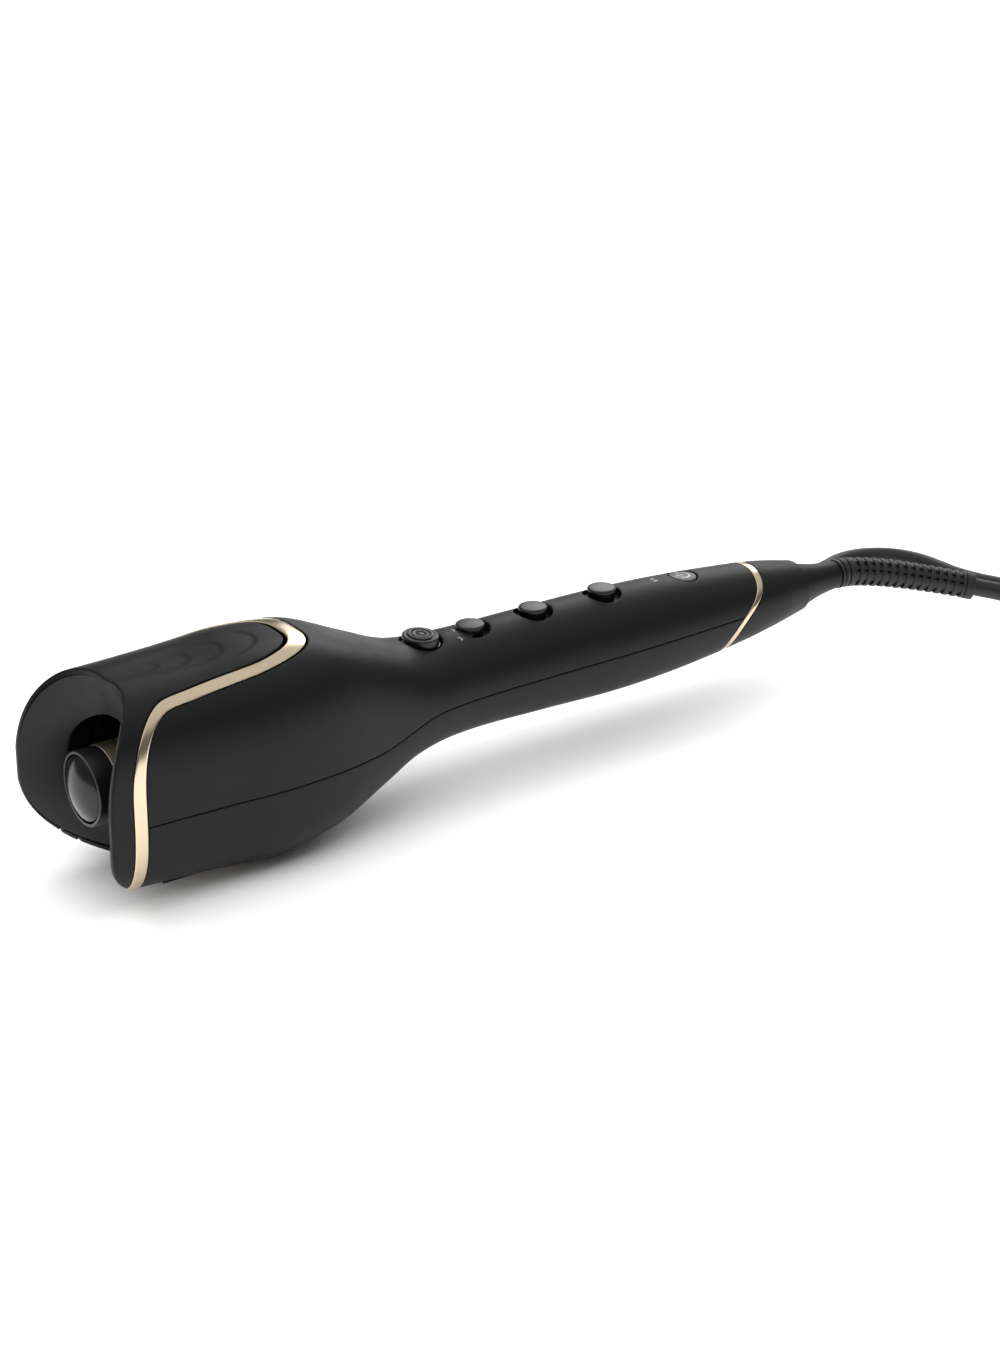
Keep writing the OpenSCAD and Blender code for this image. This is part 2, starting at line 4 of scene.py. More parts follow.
import bpy
import numpy as np
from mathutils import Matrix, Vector


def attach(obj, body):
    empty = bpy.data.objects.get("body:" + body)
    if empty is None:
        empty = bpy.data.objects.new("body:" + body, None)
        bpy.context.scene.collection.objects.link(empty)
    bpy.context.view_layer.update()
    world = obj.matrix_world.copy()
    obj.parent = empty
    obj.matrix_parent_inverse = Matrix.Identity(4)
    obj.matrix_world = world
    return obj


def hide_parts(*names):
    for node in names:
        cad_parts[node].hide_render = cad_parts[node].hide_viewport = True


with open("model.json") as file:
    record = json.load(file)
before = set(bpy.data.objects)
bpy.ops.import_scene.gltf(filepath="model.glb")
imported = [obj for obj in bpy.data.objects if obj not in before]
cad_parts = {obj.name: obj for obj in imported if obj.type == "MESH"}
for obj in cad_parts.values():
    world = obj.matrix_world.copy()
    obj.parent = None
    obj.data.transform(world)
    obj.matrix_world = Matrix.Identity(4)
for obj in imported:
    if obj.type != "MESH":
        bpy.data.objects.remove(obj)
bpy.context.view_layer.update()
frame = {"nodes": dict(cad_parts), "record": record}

# The shell's shape is worked out in the device's own millimetres, as in the CAD source: x from the
# barrel's tip to the tail, z from the barrel's axis. Everything is built in the frame's metres.
MM = 0.001
X_MID = 193.0
AXIS_H = 39.5
HOOD_WALL = 2.2
SHELL_WALL = 2.0
# Radius of the outer edges of the shell's panels.
EDGE_R = 0.4
# Where the controls are along the device, and the screws underneath with the height each head sits at.
CURL_X = 141.0
KNOBS = [("direction_slider", 163.0), ("temperature_slider", 191.5), ("timer_slider", 223.5)]
LED_X = 248.5
POWER_X = 262.5
SCREWS = [(151.0, -17.2), (254.5, -17.7)]
TAU = 2 * math.pi


def to_frame(points):
    """Device millimetres to the frame's metres; the underside is flat where it rests on the table."""
    p = np.asarray(points, float).reshape(-1, 3) + [-X_MID, 0.0, AXIS_H]
    p[:, 2] = np.maximum(p[:, 2], 0.0)
    return p * MM


def add_object(name, data):
    """A new object in the scene."""
    obj = bpy.data.objects.new(name, data)
    bpy.context.scene.collection.objects.link(obj)
    return obj


def aim(obj, at, towards):
    """Puts a camera or a lamp at a place, facing along the direction towards."""
    obj.location = at
    obj.rotation_mode = "QUATERNION"
    obj.rotation_quaternion = towards.to_track_quat("-Z", "Y")


# ---- camera

def add_camera():
    """The photo's view: its focal length and its height are in the photo's pixels."""
    focal, height = 3200, 1363
    data = bpy.data.cameras.new("camera")
    data.sensor_width = 36.0
    data.lens = focal / height * data.sensor_width
    data.clip_start, data.clip_end = 0.05, 30.0
    cam = add_object("camera", data)
    aim(cam, (-0.6409, -0.8985, 0.5333), Vector((0.51933, 0.74721, -0.41469)))
    bpy.context.scene.camera = cam


add_camera()


# ---- materials

def set_inputs(made, **values):
    """Sets a node's inputs; an underscore in a keyword stands for a space in the input's name."""
    for name, value in values.items():
        made.inputs[name.replace("_", " ")].default_value = value
    return made


def shader_of(mat):
    """The material's main shader node."""
    return mat.node_tree.nodes["Principled BSDF"]


def node(mat, kind, **values):
    """A new node in the material, with some of its inputs set."""
    return set_inputs(mat.node_tree.nodes.new(kind), **values)


def link(mat, a, b):
    """Joins the output a to the input b."""
    mat.node_tree.links.new(a, b)


MATS = {}


def new_material(name, colour, rough, metallic=0.0, specular=0.5, coat=0.0):
    """A material with plain values, kept in MATS under its name."""
    mat = MATS[name] = bpy.data.materials.new(name)
    mat.use_nodes = True
    set_inputs(shader_of(mat), Base_Color=(*colour, 1), Roughness=rough, Metallic=metallic,
               Specular_IOR_Level=specular, Coat_Weight=coat, Coat_Roughness=0.1)
    mat.diffuse_color = (*colour, 1)
    return mat


def noise(mat, scale, detail=2.0, rough=0.5, stretch=None):
    """A noise texture in object space; scale is in waves per metre."""
    source = node(mat, "ShaderNodeTexCoord").outputs["Object"]
    tex = node(mat, "ShaderNodeTexNoise", Scale=scale, Detail=detail, Roughness=rough)
    if stretch:
        mapping = node(mat, "ShaderNodeMapping", Scale=stretch)
        link(mat, source, mapping.inputs["Vector"])
        source = mapping.outputs["Vector"]
    link(mat, source, tex.inputs["Vector"])
    return tex.outputs["Fac"]


def vary_value(mat, fac, socket, middle, spread):
    """Moves a shader value about its middle by a 0 to 1 texture; spread is from lowest to highest."""
    ramp = node(mat, "ShaderNodeMapRange", From_Min=0.3, From_Max=0.7,
                To_Min=middle - spread / 2, To_Max=middle + spread / 2)
    link(mat, fac, ramp.inputs["Value"])
    link(mat, ramp.outputs["Result"], shader_of(mat).inputs[socket])


def vary_tone(mat, fac, colour, low, high):
    """Moves the base colour between low and high times colour by a 0 to 1 texture."""
    ramp = node(mat, "ShaderNodeValToRGB")
    for stop, at, k in zip(ramp.color_ramp.elements, (0.3, 0.7), (low, high)):
        stop.position = at
        stop.color = (*(min(1.0, c * k) for c in colour), 1)
    link(mat, fac, ramp.inputs["Fac"])
    link(mat, ramp.outputs["Color"], shader_of(mat).inputs["Base Color"])


def bump(mat, fac, strength, distance):
    """Roughens the surface by a 0 to 1 texture; distance is the depth in metres."""
    made = node(mat, "ShaderNodeBump", Strength=strength, Distance=distance)
    link(mat, fac, made.inputs["Height"])
    link(mat, made.outputs["Normal"], shader_of(mat).inputs["Normal"])


def plastic(name, colour, rough, grain=2600, grain_depth=0.000012, specular=0.5, coat=0.0):
    """Moulded plastic: fine spark-eroded grain, and slow patches in tone and gloss."""
    mat = new_material(name, colour, rough, specular=specular, coat=coat)
    vary_tone(mat, noise(mat, 26, 3.0), colour, 0.92, 1.08)
    vary_value(mat, noise(mat, 140, 4.0, 0.65), "Roughness", rough, 0.06)
    bump(mat, noise(mat, grain, 2.0, 0.6), 0.25, grain_depth)
    return mat


def metal(name, colour, rough, brush=None, spread=0.08):
    """Metal or a metallic coating, with fine marks along brush if it is given."""
    mat = new_material(name, colour, rough, metallic=1.0)
    vary_tone(mat, noise(mat, 30, 3.0), colour, 0.95, 1.04)
    marks = noise(mat, 900, 3.0, 0.6, stretch=brush or (1, 1, 1))
    vary_value(mat, marks, "Roughness", rough, spread)
    bump(mat, marks, 0.12, 0.000008)
    return mat


def board_material():
    """Green circuit board with paler tracks."""
    green = (0.012, 0.10, 0.045)
    mat = plastic("board_green", green, 0.35)
    tracks = node(mat, "ShaderNodeTexBrick", Scale=220, Color1=(*green, 1), Color2=(0.010, 0.085, 0.038, 1),
                  Mortar=(0.03, 0.17, 0.07, 1), Mortar_Size=0.03)
    link(mat, node(mat, "ShaderNodeTexCoord").outputs["Object"], tracks.inputs["Vector"])
    link(mat, tracks.outputs["Color"], shader_of(mat).inputs["Base Color"])
    return mat


def build_materials():
    """Every slot's material: plastics and metals as name, colour, roughness and what else differs."""
    plastic("shell_black", (0.0036, 0.0038, 0.0043), 0.46, specular=0.25)
    plastic("bezel_grey", (0.0135, 0.0137, 0.0142), 0.55, specular=0.34)
    plastic("chamber_black", (0.0018, 0.0018, 0.002), 0.6, specular=0.12)
    metal("trim_gold", (0.72, 0.60, 0.43), 0.2, brush=(1, 0.08, 0.08), spread=0.05)
    metal("barrel_gold", (0.74, 0.62, 0.46), 0.36, brush=(0.06, 1, 1))
    plastic("tip_black", (0.0035, 0.0037, 0.0045), 0.34, specular=0.42)
    plastic("dome_black", (0.006, 0.006, 0.007), 0.2, grain_depth=0.000002, specular=0.35, coat=0.12)
    plastic("button_black", (0.0040, 0.0042, 0.0047), 0.34, specular=0.5)
    plastic("lens_white", (0.33, 0.335, 0.34), 0.3)
    metal("aluminium", (0.72, 0.73, 0.75), 0.35, brush=(0.05, 1, 1))
    plastic("ceramic", (0.30, 0.25, 0.20), 0.45)
    metal("brass", (0.70, 0.52, 0.25), 0.28)
    plastic("heat_base", (0.055, 0.048, 0.042), 0.6)
    plastic("gear_white", (0.68, 0.66, 0.60), 0.4)
    metal("steel", (0.55, 0.56, 0.58), 0.3, brush=(1, 1, 0.1))
    plastic("switch_dark", (0.03, 0.03, 0.034), 0.5)
    plastic("switch_cream", (0.58, 0.55, 0.46), 0.45)
    plastic("led_white", (0.85, 0.85, 0.80), 0.25)
    board_material()
    plastic("cord_black", (0.006, 0.006, 0.0066), 0.5, grain=1500, grain_depth=0.00003)
    plastic("plug_black", (0.008, 0.008, 0.0086), 0.42)
    metal("nickel", (0.68, 0.68, 0.69), 0.2)


build_materials()


# ---- meshes

def add_piece(name, points, faces, slot, body="housing", replaces=(), angle=None):
    """A mesh piece from device millimetres, riding on a body, with its slot's material."""
    mesh = bpy.data.meshes.new(name)
    mesh.from_pydata(to_frame(points).tolist(), [], faces)
    mesh.validate()
    obj = add_object(name, mesh)
    mesh.materials.append(MATS[slot])
    mesh.shade_smooth()
    if angle:
        mesh.set_sharp_from_angle(angle=math.radians(angle))
    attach(obj, body)
    if replaces:
        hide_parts(*replaces)


def quads(rows, cols, wrap=False, keep=None, flip=False):
    """Faces of a grid of rows by cols points, wrapped round if asked; keep is a mask of its cells."""
    last = cols if wrap else cols - 1
    i, j = np.meshgrid(np.arange(rows - 1), np.arange(last), indexing="ij")
    if keep is not None:
        i, j = i[keep], j[keep]
    i, j = i.ravel(), j.ravel()
    k = (j + 1) % cols
    f = np.stack([i * cols + j, i * cols + k, (i + 1) * cols + k, (i + 1) * cols + j], 1)
    return [tuple(face) for face in (f[:, ::-1] if flip else f).tolist()]


class Solid:
    """Collects points and faces of several patches into one mesh."""

    def __init__(self):
        self.points, self.faces, self.count = [], [], 0

    def add(self, points, faces):
        """Adds points, and faces that count from the first of them."""
        points = np.asarray(points, float).reshape(-1, 3)
        self.faces += [tuple(i + self.count for i in f) for f in faces]
        self.points.append(points)
        self.count += len(points)
        return self

    def grid(self, points, wrap=False, keep=None, flip=False):
        """Adds a grid of points with its faces."""
        return self.add(points, quads(*points.shape[:2], wrap, keep, flip))

    def tube(self, points, flip=False):
        """Adds a grid wrapped round, with its two ends closed."""
        rows, cols = points.shape[:2]
        ends = [tuple(range(cols))[::-1], tuple((rows - 1) * cols + k for k in range(cols))]
        return self.add(points, quads(rows, cols, True, None, flip) + [e[::-1] if flip else e for e in ends])

    def all_points(self):
        return np.concatenate(self.points)

    def compacted(self):
        """All points and faces, with coinciding points merged."""
        return compact(self.all_points(), self.faces)


def arc(cx, cy, r, a0, a1, n):
    """n+1 points of a flat arc, angles in degrees."""
    return [(cx + r * math.cos(math.radians(a0 + (a1 - a0) * i / n)),
             cy + r * math.sin(math.radians(a0 + (a1 - a0) * i / n))) for i in range(n + 1)]


def hermite(a, b, ta, tb, t):
    """Cubic from a to b with the slopes ta and tb at its ends."""
    return ((2 * t**3 - 3 * t**2 + 1) * a + (t**3 - 2 * t**2 + t) * ta
            + (3 * t**2 - 2 * t**3) * b + (t**3 - t**2) * tb)


# ---- cord

# The cord is in the frame's own millimetres: its coil's middle, radius and height off the table, and
# the listed points of the two stretches that aren't coiled.
CORD_D = 7.2
COIL_AT = (-72.0, 77.0)
COIL_R = 43.2
COIL_FLOOR = 0.8
LEAD = [
    (200, -25, 30), (208, -30.5, 28), (215.5, -35.5, 25.5), (223.5, -39, 22), (232.5, -40.5, 18),
    (242, -38.5, 13.8), (251, -33.5, 10), (258, -25, 7), (261.5, -15, 5), (262, -4.5, 4.1),
    (259, 6, 3.8), (254, 15.5, 3.7), (249.5, 25, 3.7), (246.5, 35, 3.7), (245.5, 45, 3.7),
    (244, 55, 3.7), (240, 64, 3.7), (233.5, 70.5, 3.7), (225, 74.5, 3.7), (215.5, 75, 3.7),
    (206, 72.5, 3.7), (190, 68.5, 3.7), (165, 65.5, 3.7), (130, 61.5, 3.7), (94, 55, 3.7),
    (59, 49.5, 3.7), (24, 47.5, 3.8), (-4, 46.5, 4), (-27, 42.5, 4.4),
]
TAIL = [(-25, 96, 11), (-20.5, 88.5, 9.8), (-14.5, 81, 8.4), (-7, 75, 7.3), (4, 72, 6.9)]
# Where the winding moves to its next turn: degrees wound, then the turn's place across and up.
COIL_TURNS = [(-30, 1, 0), (240, 1, 0), (300, 0, 0), (600, 0, 0), (660, -1, 0), (900, -1, 0), (960, -1, 1),
              (1200, -1, 1), (1260, 0, 1), (1500, 0, 1), (1560, 1, 1), (1680, 1, 1)]


def hermite_path(points, steps):
    """The CAD source's smooth route through its given points."""
    p = np.asarray(points, float)
    ends = [p[1] - p[0]] + [(p[i + 1] - p[i - 1]) / 2 for i in range(1, len(p) - 1)] + [p[-1] - p[-2]]
    out = []
    for i in range(len(p) - 1):
        for t in np.arange(steps) / steps:
            out.append(hermite(p[i], p[i + 1], ends[i], ends[i + 1], t))
    return out + [p[-1]]


def winding():
    """The coil's turns, clockwise, starting where the lead meets it, with a point every six degrees."""
    wound, across, up = np.array(COIL_TURNS, float).T
    out = []
    for deg in np.arange(wound[0], wound[-1] + 1, 6):
        i = min(np.searchsorted(wound, deg, side="right") - 1, len(wound) - 2)
        t = (deg - wound[i]) / (wound[i + 1] - wound[i])
        t = t * t * (3 - 2 * t)
        a = math.radians(270 - deg)
        r = COIL_R + CORD_D * (across[i] + (across[i + 1] - across[i]) * t)
        z = COIL_FLOOR + CORD_D * (0.5 + up[i] + (up[i + 1] - up[i]) * t)
        out.append(np.array([COIL_AT[0] + r * math.cos(a), COIL_AT[1] + r * math.sin(a), z]))
    return out


def add_cord():
    """The mains cord: from the strain relief, behind the curler, round its coil and to the plug."""
    route = hermite_path(LEAD, 4) + winding() + hermite_path(TAIL, 4)
    curve = bpy.data.curves.new("mains_cord", "CURVE")
    curve.dimensions = "3D"
    curve.bevel_depth = CORD_D / 2 * MM
    curve.bevel_resolution = 7
    curve.use_fill_caps = True
    spline = curve.splines.new("POLY")
    spline.points.add(len(route) - 1)
    for point, at in zip(spline.points, route):
        point.co = (*(at * MM), 1)
    spline.use_smooth = True
    cord = add_object("mains_cord", curve)
    curve.materials.append(MATS["cord_black"])
    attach(cord, "housing")
    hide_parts("cord_lead", "cord_coil", "cord_tail")


add_cord()


# ---- the outer skin

# Places along the device, and the half width, rise and drop at each: the head's first six, then the grip's.
HEAD_HALF_W, HEAD_RISE, HEAD_DROP = 34.0, 41.25, AXIS_H - 0.01
GRIP_HALF_W, GRIP_HALF_H = 19.0, 20.5
ST_X = np.array([0, 40, 65, 90, 112, 130, 155, 190, 225, 255, 285, 303, 318], float)
ST_W = np.append(HEAD_HALF_W * np.array([0.92, 0.963, 1, 0.94, 0.795, 0.676]),
                 GRIP_HALF_W * np.array([1.04, 1, 1, 0.947, 0.855, 0.763, 0.58]))
ST_T = np.append(HEAD_RISE * np.array([0.97, 0.976, 1, 0.945, 0.727, 0.555]),
                 GRIP_HALF_H * np.array([1.037, 1.024, 1, 0.922, 0.785, 0.671, 0.52]))
ST_B = np.append(HEAD_DROP * np.array([0.911, 0.956, 1, 0.886, 0.684, 0.519]),
                 GRIP_HALF_H * np.array([0.878, 0.915, 0.963, 0.902, 0.744, 0.6, 0.48]))
# The sides and the back end of the hair slot underneath, and the chamber's radius at the mouth.
SLOT_NEAR, SLOT_FAR, SLOT_END = -22.0, 10.0, 63.0
MOUTH_R = 23.5


def smooth(t):
    """0 to 1 with level ends, as t goes from 0 to 1."""
    t = np.clip(t, 0, 1)
    return t * t * (3 - 2 * t)


def mix(a, b, t):
    """From a at 0 to b at 1."""
    return a + (b - a) * t


def station(values, x):
    """Cubic through a list of station values, with finite-difference slopes."""
    n = len(ST_X)
    before, after = np.maximum(np.arange(n) - 1, 0), np.minimum(np.arange(n) + 1, n - 1)
    slopes = (values[after] - values[before]) / (ST_X[after] - ST_X[before])
    i = np.clip(np.searchsorted(ST_X, x, side="right") - 1, 0, n - 2)
    h = ST_X[i + 1] - ST_X[i]
    t = np.clip((x - ST_X[i]) / h, 0, 1)
    return hermite(values[i], values[i + 1], h * slopes[i], h * slopes[i + 1], t)


def section(x, off=0.0):
    """Half width, height above and below the centre, centre and exponent of the section at x."""
    w, t, b = station(ST_W, x), station(ST_T, x), station(ST_B, x)
    k = smooth((x - 84) / 65)
    zc = (t - b) / 2 * k
    return w - off, t - zc - off, b + zc - off, zc, mix(3.0, 2.03, k)


def skin(x, a, off=0.0):
    """Points of the outer surface at x, in the direction a from the far side, set in by off."""
    x, a = np.broadcast_arrays(np.asarray(x, float), np.asarray(a, float))
    w, t, b, zc, n = section(x, off)
    c, s = np.cos(a), np.sin(a)
    r = (np.abs(c / w) ** n + np.abs(s / np.where(s > 0, t, b)) ** n) ** (-1 / n)
    return np.stack([x, r * c, zc + r * s], -1)


def skin_z(x, y, off=0.0, side=1):
    """Height of the outer surface over x, y; side is -1 for the underside."""
    x, y = np.broadcast_arrays(np.asarray(x, float), np.asarray(y, float))
    w, t, b, zc, n = section(x, off)
    return zc + side * (t if side > 0 else b) * np.maximum(0, 1 - np.abs(y / w) ** n) ** (1 / n)


def rim_x(a):
    """How far forward the hood's front edge reaches at angle a."""
    p = skin(0.0, a)
    y, z = p[..., 1], p[..., 2]
    up = 29 * (1 - np.sqrt(1 - np.minimum(1, z / 43) ** 2))
    far = 35 * (1 - np.sqrt(np.maximum(0, 1 - (z / 36.2) ** 2)))
    near = 4.5 * (np.abs(z) / 26) ** 5
    return -7.5 + np.where(z > 0, up, mix(near, far, smooth((y + 10) / 20))) - 0.077 * y


def trim_edge(x0, a, b, n, end, shift):
    """Side-view line of the head's trim, up the front, round a corner and back; shift moves it aside."""
    s = np.radians(np.linspace(0, 90, 61))
    x = np.concatenate([[x0, x0], x0 + a * (1 - np.cos(s) ** (2 / n)), [end[0]]])
    z = np.concatenate([[-60, -10], 4 + b * np.sin(s) ** (2 / n), [end[1]]])
    tangent = np.gradient(np.stack([x, z], 1), axis=0)
    tangent /= np.linalg.norm(tangent, axis=1)[:, None]
    return x + tangent[:, 1] * shift, z - tangent[:, 0] * shift


def front_edge(shift):
    """Front edge of the metallic strip round the head, in side view."""
    return trim_edge(3.5, 22.5, 32.6, 2.2, (110, 42.8), shift)


def back_edge(shift):
    """Back edge of the metallic strip round the head, in side view."""
    return trim_edge(8.7, 21.3, 30.0, 2.6, (115, 42.0), shift)


def root(f, low, high):
    """Where f, positive at low and negative at high, crosses zero; f may give an array."""
    for _ in range(44):
        mid = (low + high) / 2
        inside = f(mid) > 0
        low = np.where(inside, mid, low)
        high = np.where(inside, high, mid)
    return (low + high) / 2


def edge_x(a, edge):
    """Where the skin at angle a crosses a trim edge."""
    ex, ez = edge
    order = np.argsort(ex, kind="stable")
    line = lambda x: np.where(x < ex.min(), -60, np.interp(x, ex[order], ez[order]))
    low = ex.min() - 0.01
    return root(lambda x: skin(x, a)[..., 2] - line(x), low, low + 110)


def part_z(x):
    """Height of the line where the handle's two shells meet."""
    return mix(-4.5, 1.4, smooth((x - 104) / 36))


def part_angle(x, shift):
    """Angle, on the far side, where the skin meets the parting line; shift is above it."""
    return root(lambda a: part_z(x) + shift - skin(x, a)[..., 2], -1.0, 1.0)


def slot_angle(x, y):
    """Angle, underneath, where the skin is at y."""
    down = -math.pi / 2
    found = root(lambda a: abs(y) - skin(x, a)[..., 1], down, down + 1.2)
    return found if y > 0 else -math.pi - found


def ring_x(z):
    """Place along the device of the tail ring's leaning front edge, at height z."""
    u = 0.0942 * (z - 3.5)
    return 283.5 + 12 * u / np.sqrt(1 + u * u)


def ring_edge(a, back, shift):
    """Where the skin at angle a meets the tail ring's front or back edge; shift is towards the tail."""
    x = np.full(np.shape(a), 285.0)
    for _ in range(30):
        z = skin(x, a)[..., 2]
        x = 0.5 * x + 0.5 * (ring_x(z) + shift + (3.3 + 0.03 * z if back else 0))
    return x


def spaced(length, n, gaps=(0.0, 0.06, 0.14, 0.26, 0.42, 0.6)):
    """0 to 1 in even steps, with closer steps near both ends; gaps are in length's units."""
    ends = np.array(gaps) / length
    return np.concatenate([ends[:-1], np.linspace(ends[-1], 1 - ends[-1], n), 1 - ends[:-1][::-1]])


def table(f, low, high):
    """A slow function, worked out once at many places and then read off."""
    at = np.linspace(low, high, 2400)
    values = f(at)
    return lambda q: np.interp(q, at, values)


def fixed(value):
    """A limit that is the same everywhere."""
    return lambda q: np.full(np.shape(q), float(value))


def inward(x, a):
    """Unit normals of the outer surface, pointing in."""
    along = skin(x + 0.05, a) - skin(x - 0.05, a)
    around = skin(x, a + 0.002) - skin(x, a - 0.002)
    n = np.cross(along, around)
    return n / np.linalg.norm(n, axis=-1, keepdims=True)


def distance_to(points, line):
    """Distance from each point to a line of points."""
    flat = points.reshape(-1, 3)
    out = np.empty(len(flat))
    a, b = line[:-1], line[1:]
    ab = b - a
    length = np.maximum((ab * ab).sum(1), 1e-12)
    for k in range(0, len(flat), 4000):
        p = flat[k:k + 4000, None]
        t = np.clip(((p - a) * ab).sum(-1) / length, 0, 1)
        out[k:k + 4000] = np.sqrt((((a + t[..., None] * ab) - p) ** 2).sum(-1).min(1))
    return out.reshape(points.shape[:-1])


def rounded(points, lines, r, into):
    """Points pulled in along into where they are within r of a boundary line: a rounded edge."""
    near = np.full(points.shape[:-1], 1e9)
    for line in lines:
        near = np.minimum(near, distance_to(points, line))
    d = np.clip(near, 0, r)
    return points + into * (r - np.sqrt(r * r - (r - d) ** 2))[..., None]


def outline(points):
    """The four sides of a grid, as lines."""
    return [points[0], points[-1], points[:, 0], points[:, -1]]


def patch(x_ends, a_ends, s, v):
    """x and a over a grid: rows at v between two angle limits, columns at s between two x limits.

    a_ends is the two limits, or one function that gives each row's angle.
    """
    across, up = np.meshgrid(s, v)
    x = np.full(across.shape, 40.0)
    for _ in range(14):
        a = a_ends(x, up) if callable(a_ends) else mix(a_ends[0](x), a_ends[1](x), up)
        x = mix(x_ends[0](a), x_ends[1](a), across)
    return x, a


def compact(points, faces):
    """Merges points that coincide and drops unused ones and faces that have shrunk to a line."""
    _, first, back = np.unique(np.round(points, 4), axis=0, return_index=True, return_inverse=True)
    back = back.ravel()
    made, seen = [], {}
    for face in faces:
        ring = []
        for i in face:
            k = int(back[i])
            if not ring or ring[-1] != k:
                ring.append(k)
        if len(ring) > 1 and ring[0] == ring[-1]:
            ring.pop()
        if len(set(ring)) > 2:
            made.append(tuple(seen.setdefault(k, len(seen)) for k in ring))
    order = sorted(seen, key=seen.get)
    return points[first[order]], made


def thicken(outer, inner, faces, skip=()):
    """A closed body from an outer surface and the same points further in; skip is left open."""
    edges = {(f[k], f[(k + 1) % len(f)]) for f in faces for k in range(len(f))}
    n = len(outer)
    made = [tuple(f) for f in faces] + [tuple(i + n for i in reversed(f)) for f in faces]
    made += [(b, a, a + n, b + n) for a, b in edges if (b, a) not in edges and not (a in skip and b in skip)]
    return np.concatenate([outer, inner]), made


def add_panel(name, slot, base, outer, inner, replaces=()):
    """A closed panel of the shell from the grids of its outer and inner surfaces."""
    pair = np.concatenate([outer.reshape(-1, 3), inner.reshape(-1, 3)], 1)
    pair, faces = compact(pair, quads(*base.shape[:2], flip=True))
    points, faces = thicken(pair[:, :3], pair[:, 3:], faces)
    add_piece(name, points, faces, slot, replaces=replaces, angle=50)


def add_strip(name, slot, x, a, crown, lines=outline, replaces=()):
    """A narrow panel over the grid x, a, with rounded edges, and raised by crown along its middle."""
    base, into = skin(x, a), inward(x, a)
    raised = crown * np.sin(np.linspace(0, math.pi, base.shape[1]))[:, None]
    add_panel(name, slot, base, rounded(base, lines(base), 0.3, into) - into * raised,
              base + into * SHELL_WALL, replaces)


# Half the line between two panels, the foremost point, and the range of angles in the tables.
GAP = 0.12
FOREMOST = -9.5
LOW, HIGH = -math.pi / 2 - 0.2, TAU + 1.6
rim = table(lambda a: np.maximum(rim_x(a), FOREMOST), LOW, HIGH)
hood_back = table(lambda a: edge_x(a, front_edge(-GAP)), LOW, HIGH)
trim_front = table(lambda a: np.maximum(edge_x(a, front_edge(GAP)), rim_x(a)), LOW, HIGH)
trim_back = table(lambda a: edge_x(a, back_edge(-GAP)), LOW, HIGH)
shell_front = table(lambda a: np.maximum(edge_x(a, back_edge(GAP)), rim_x(a)), LOW, HIGH)
shell_back = table(lambda a: ring_edge(a, False, -GAP), LOW, HIGH)
ring_front = table(lambda a: ring_edge(a, False, GAP), LOW, HIGH)
ring_back = table(lambda a: ring_edge(a, True, -GAP), LOW, HIGH)
cap_front = table(lambda a: ring_edge(a, True, GAP), LOW, HIGH)
upper_edge = table(lambda x: part_angle(x, GAP), -14, 322)
lower_edge = table(lambda x: part_angle(x, -GAP), -14, 322)
slot_near = table(lambda x: TAU + slot_angle(x, SLOT_NEAR), -14, 72)
slot_far = table(lambda x: TAU + slot_angle(x, SLOT_FAR), -14, 72)


def span(width, least):
    """First and last angle round the top at which width(a) is more than least."""
    a = np.linspace(-math.pi / 2, 1.5 * math.pi, 4001)
    wide = a[width(a) > least]
    return wide.min(), wide.max()


# Nested arches pressed into the top of the hood: where each ends, half its width, its step.
ARCHES = [(70, 10.8, 0.34), (56.5, 8.2, 0.34), (43.5, 5.6, 0.3), (31.5, 3.0, 0.24)]


def arches(p):
    """How deep the hood's arches are at each point."""
    x, y = p[..., 0], p[..., 1] + 0.8
    depth = np.zeros(x.shape)
    for end, half, step in ARCHES:
        reach = 1.5 * half
        ahead = np.maximum(0, (x - (end - reach)) / reach)
        inside = (1 - np.sqrt(ahead ** 2 + (y / half) ** 2)) * half
        fade = smooth((x - (end - 46)) / 26)
        depth += step * smooth(0.5 + inside / 1.1) * fade
    return np.where(p[..., 2] > 20, depth, 0)


def add_hood():
    """The cover over the top of the head, from the mouth's rim to the metallic strip."""
    low, high = span(lambda a: hood_back(a) - rim(a), 0.8)
    x, a = patch((rim, hood_back), (fixed(low), fixed(high)), spaced(70, 110), spaced(190, 190))
    base, into = skin(x, a), inward(x, a)
    outer = rounded(base, [base[0], base[-1], base[:, -1]], EDGE_R, into)
    outer = rounded(outer, [base[:, 0]], 0.9, into) + into * arches(base)[..., None]
    add_panel("hood_cover.skin", "shell_black", base, outer, base + into * HOOD_WALL, ["hood_cover"])


STRIP_GAPS = (0, 0.06, 0.14, 0.26, 0.4)


def add_head_trim():
    """The metallic strip; at the far end, where the mouth cuts across it, a black corner takes over."""
    low, high = span(lambda a: trim_back(a) - trim_front(a), 0.6)
    high = min(high, float(slot_near(7.0)))
    turns = np.linspace(-math.pi / 2, 0.5, 2001)
    stop = float(turns[rim(turns) > 2.6].max()) + 0.01
    across = spaced(7, 7, STRIP_GAPS)
    for name, slot, start, end, rows, replaces in (
            ("head_trim_strip.skin", "trim_gold", stop, high, spaced(190, 300), ["head_trim_strip"]),
            ("hood_cover.corner", "shell_black", low, stop - 0.004, spaced(20, 40), ())):
        x, a = patch((trim_front, trim_back), (fixed(start), fixed(end)), across, rows)
        add_strip(name, slot, x, a, 0.12, replaces=replaces)


ROUND = (fixed(0), fixed(TAU))
ROUND_STEPS = np.linspace(0, 1, 161)


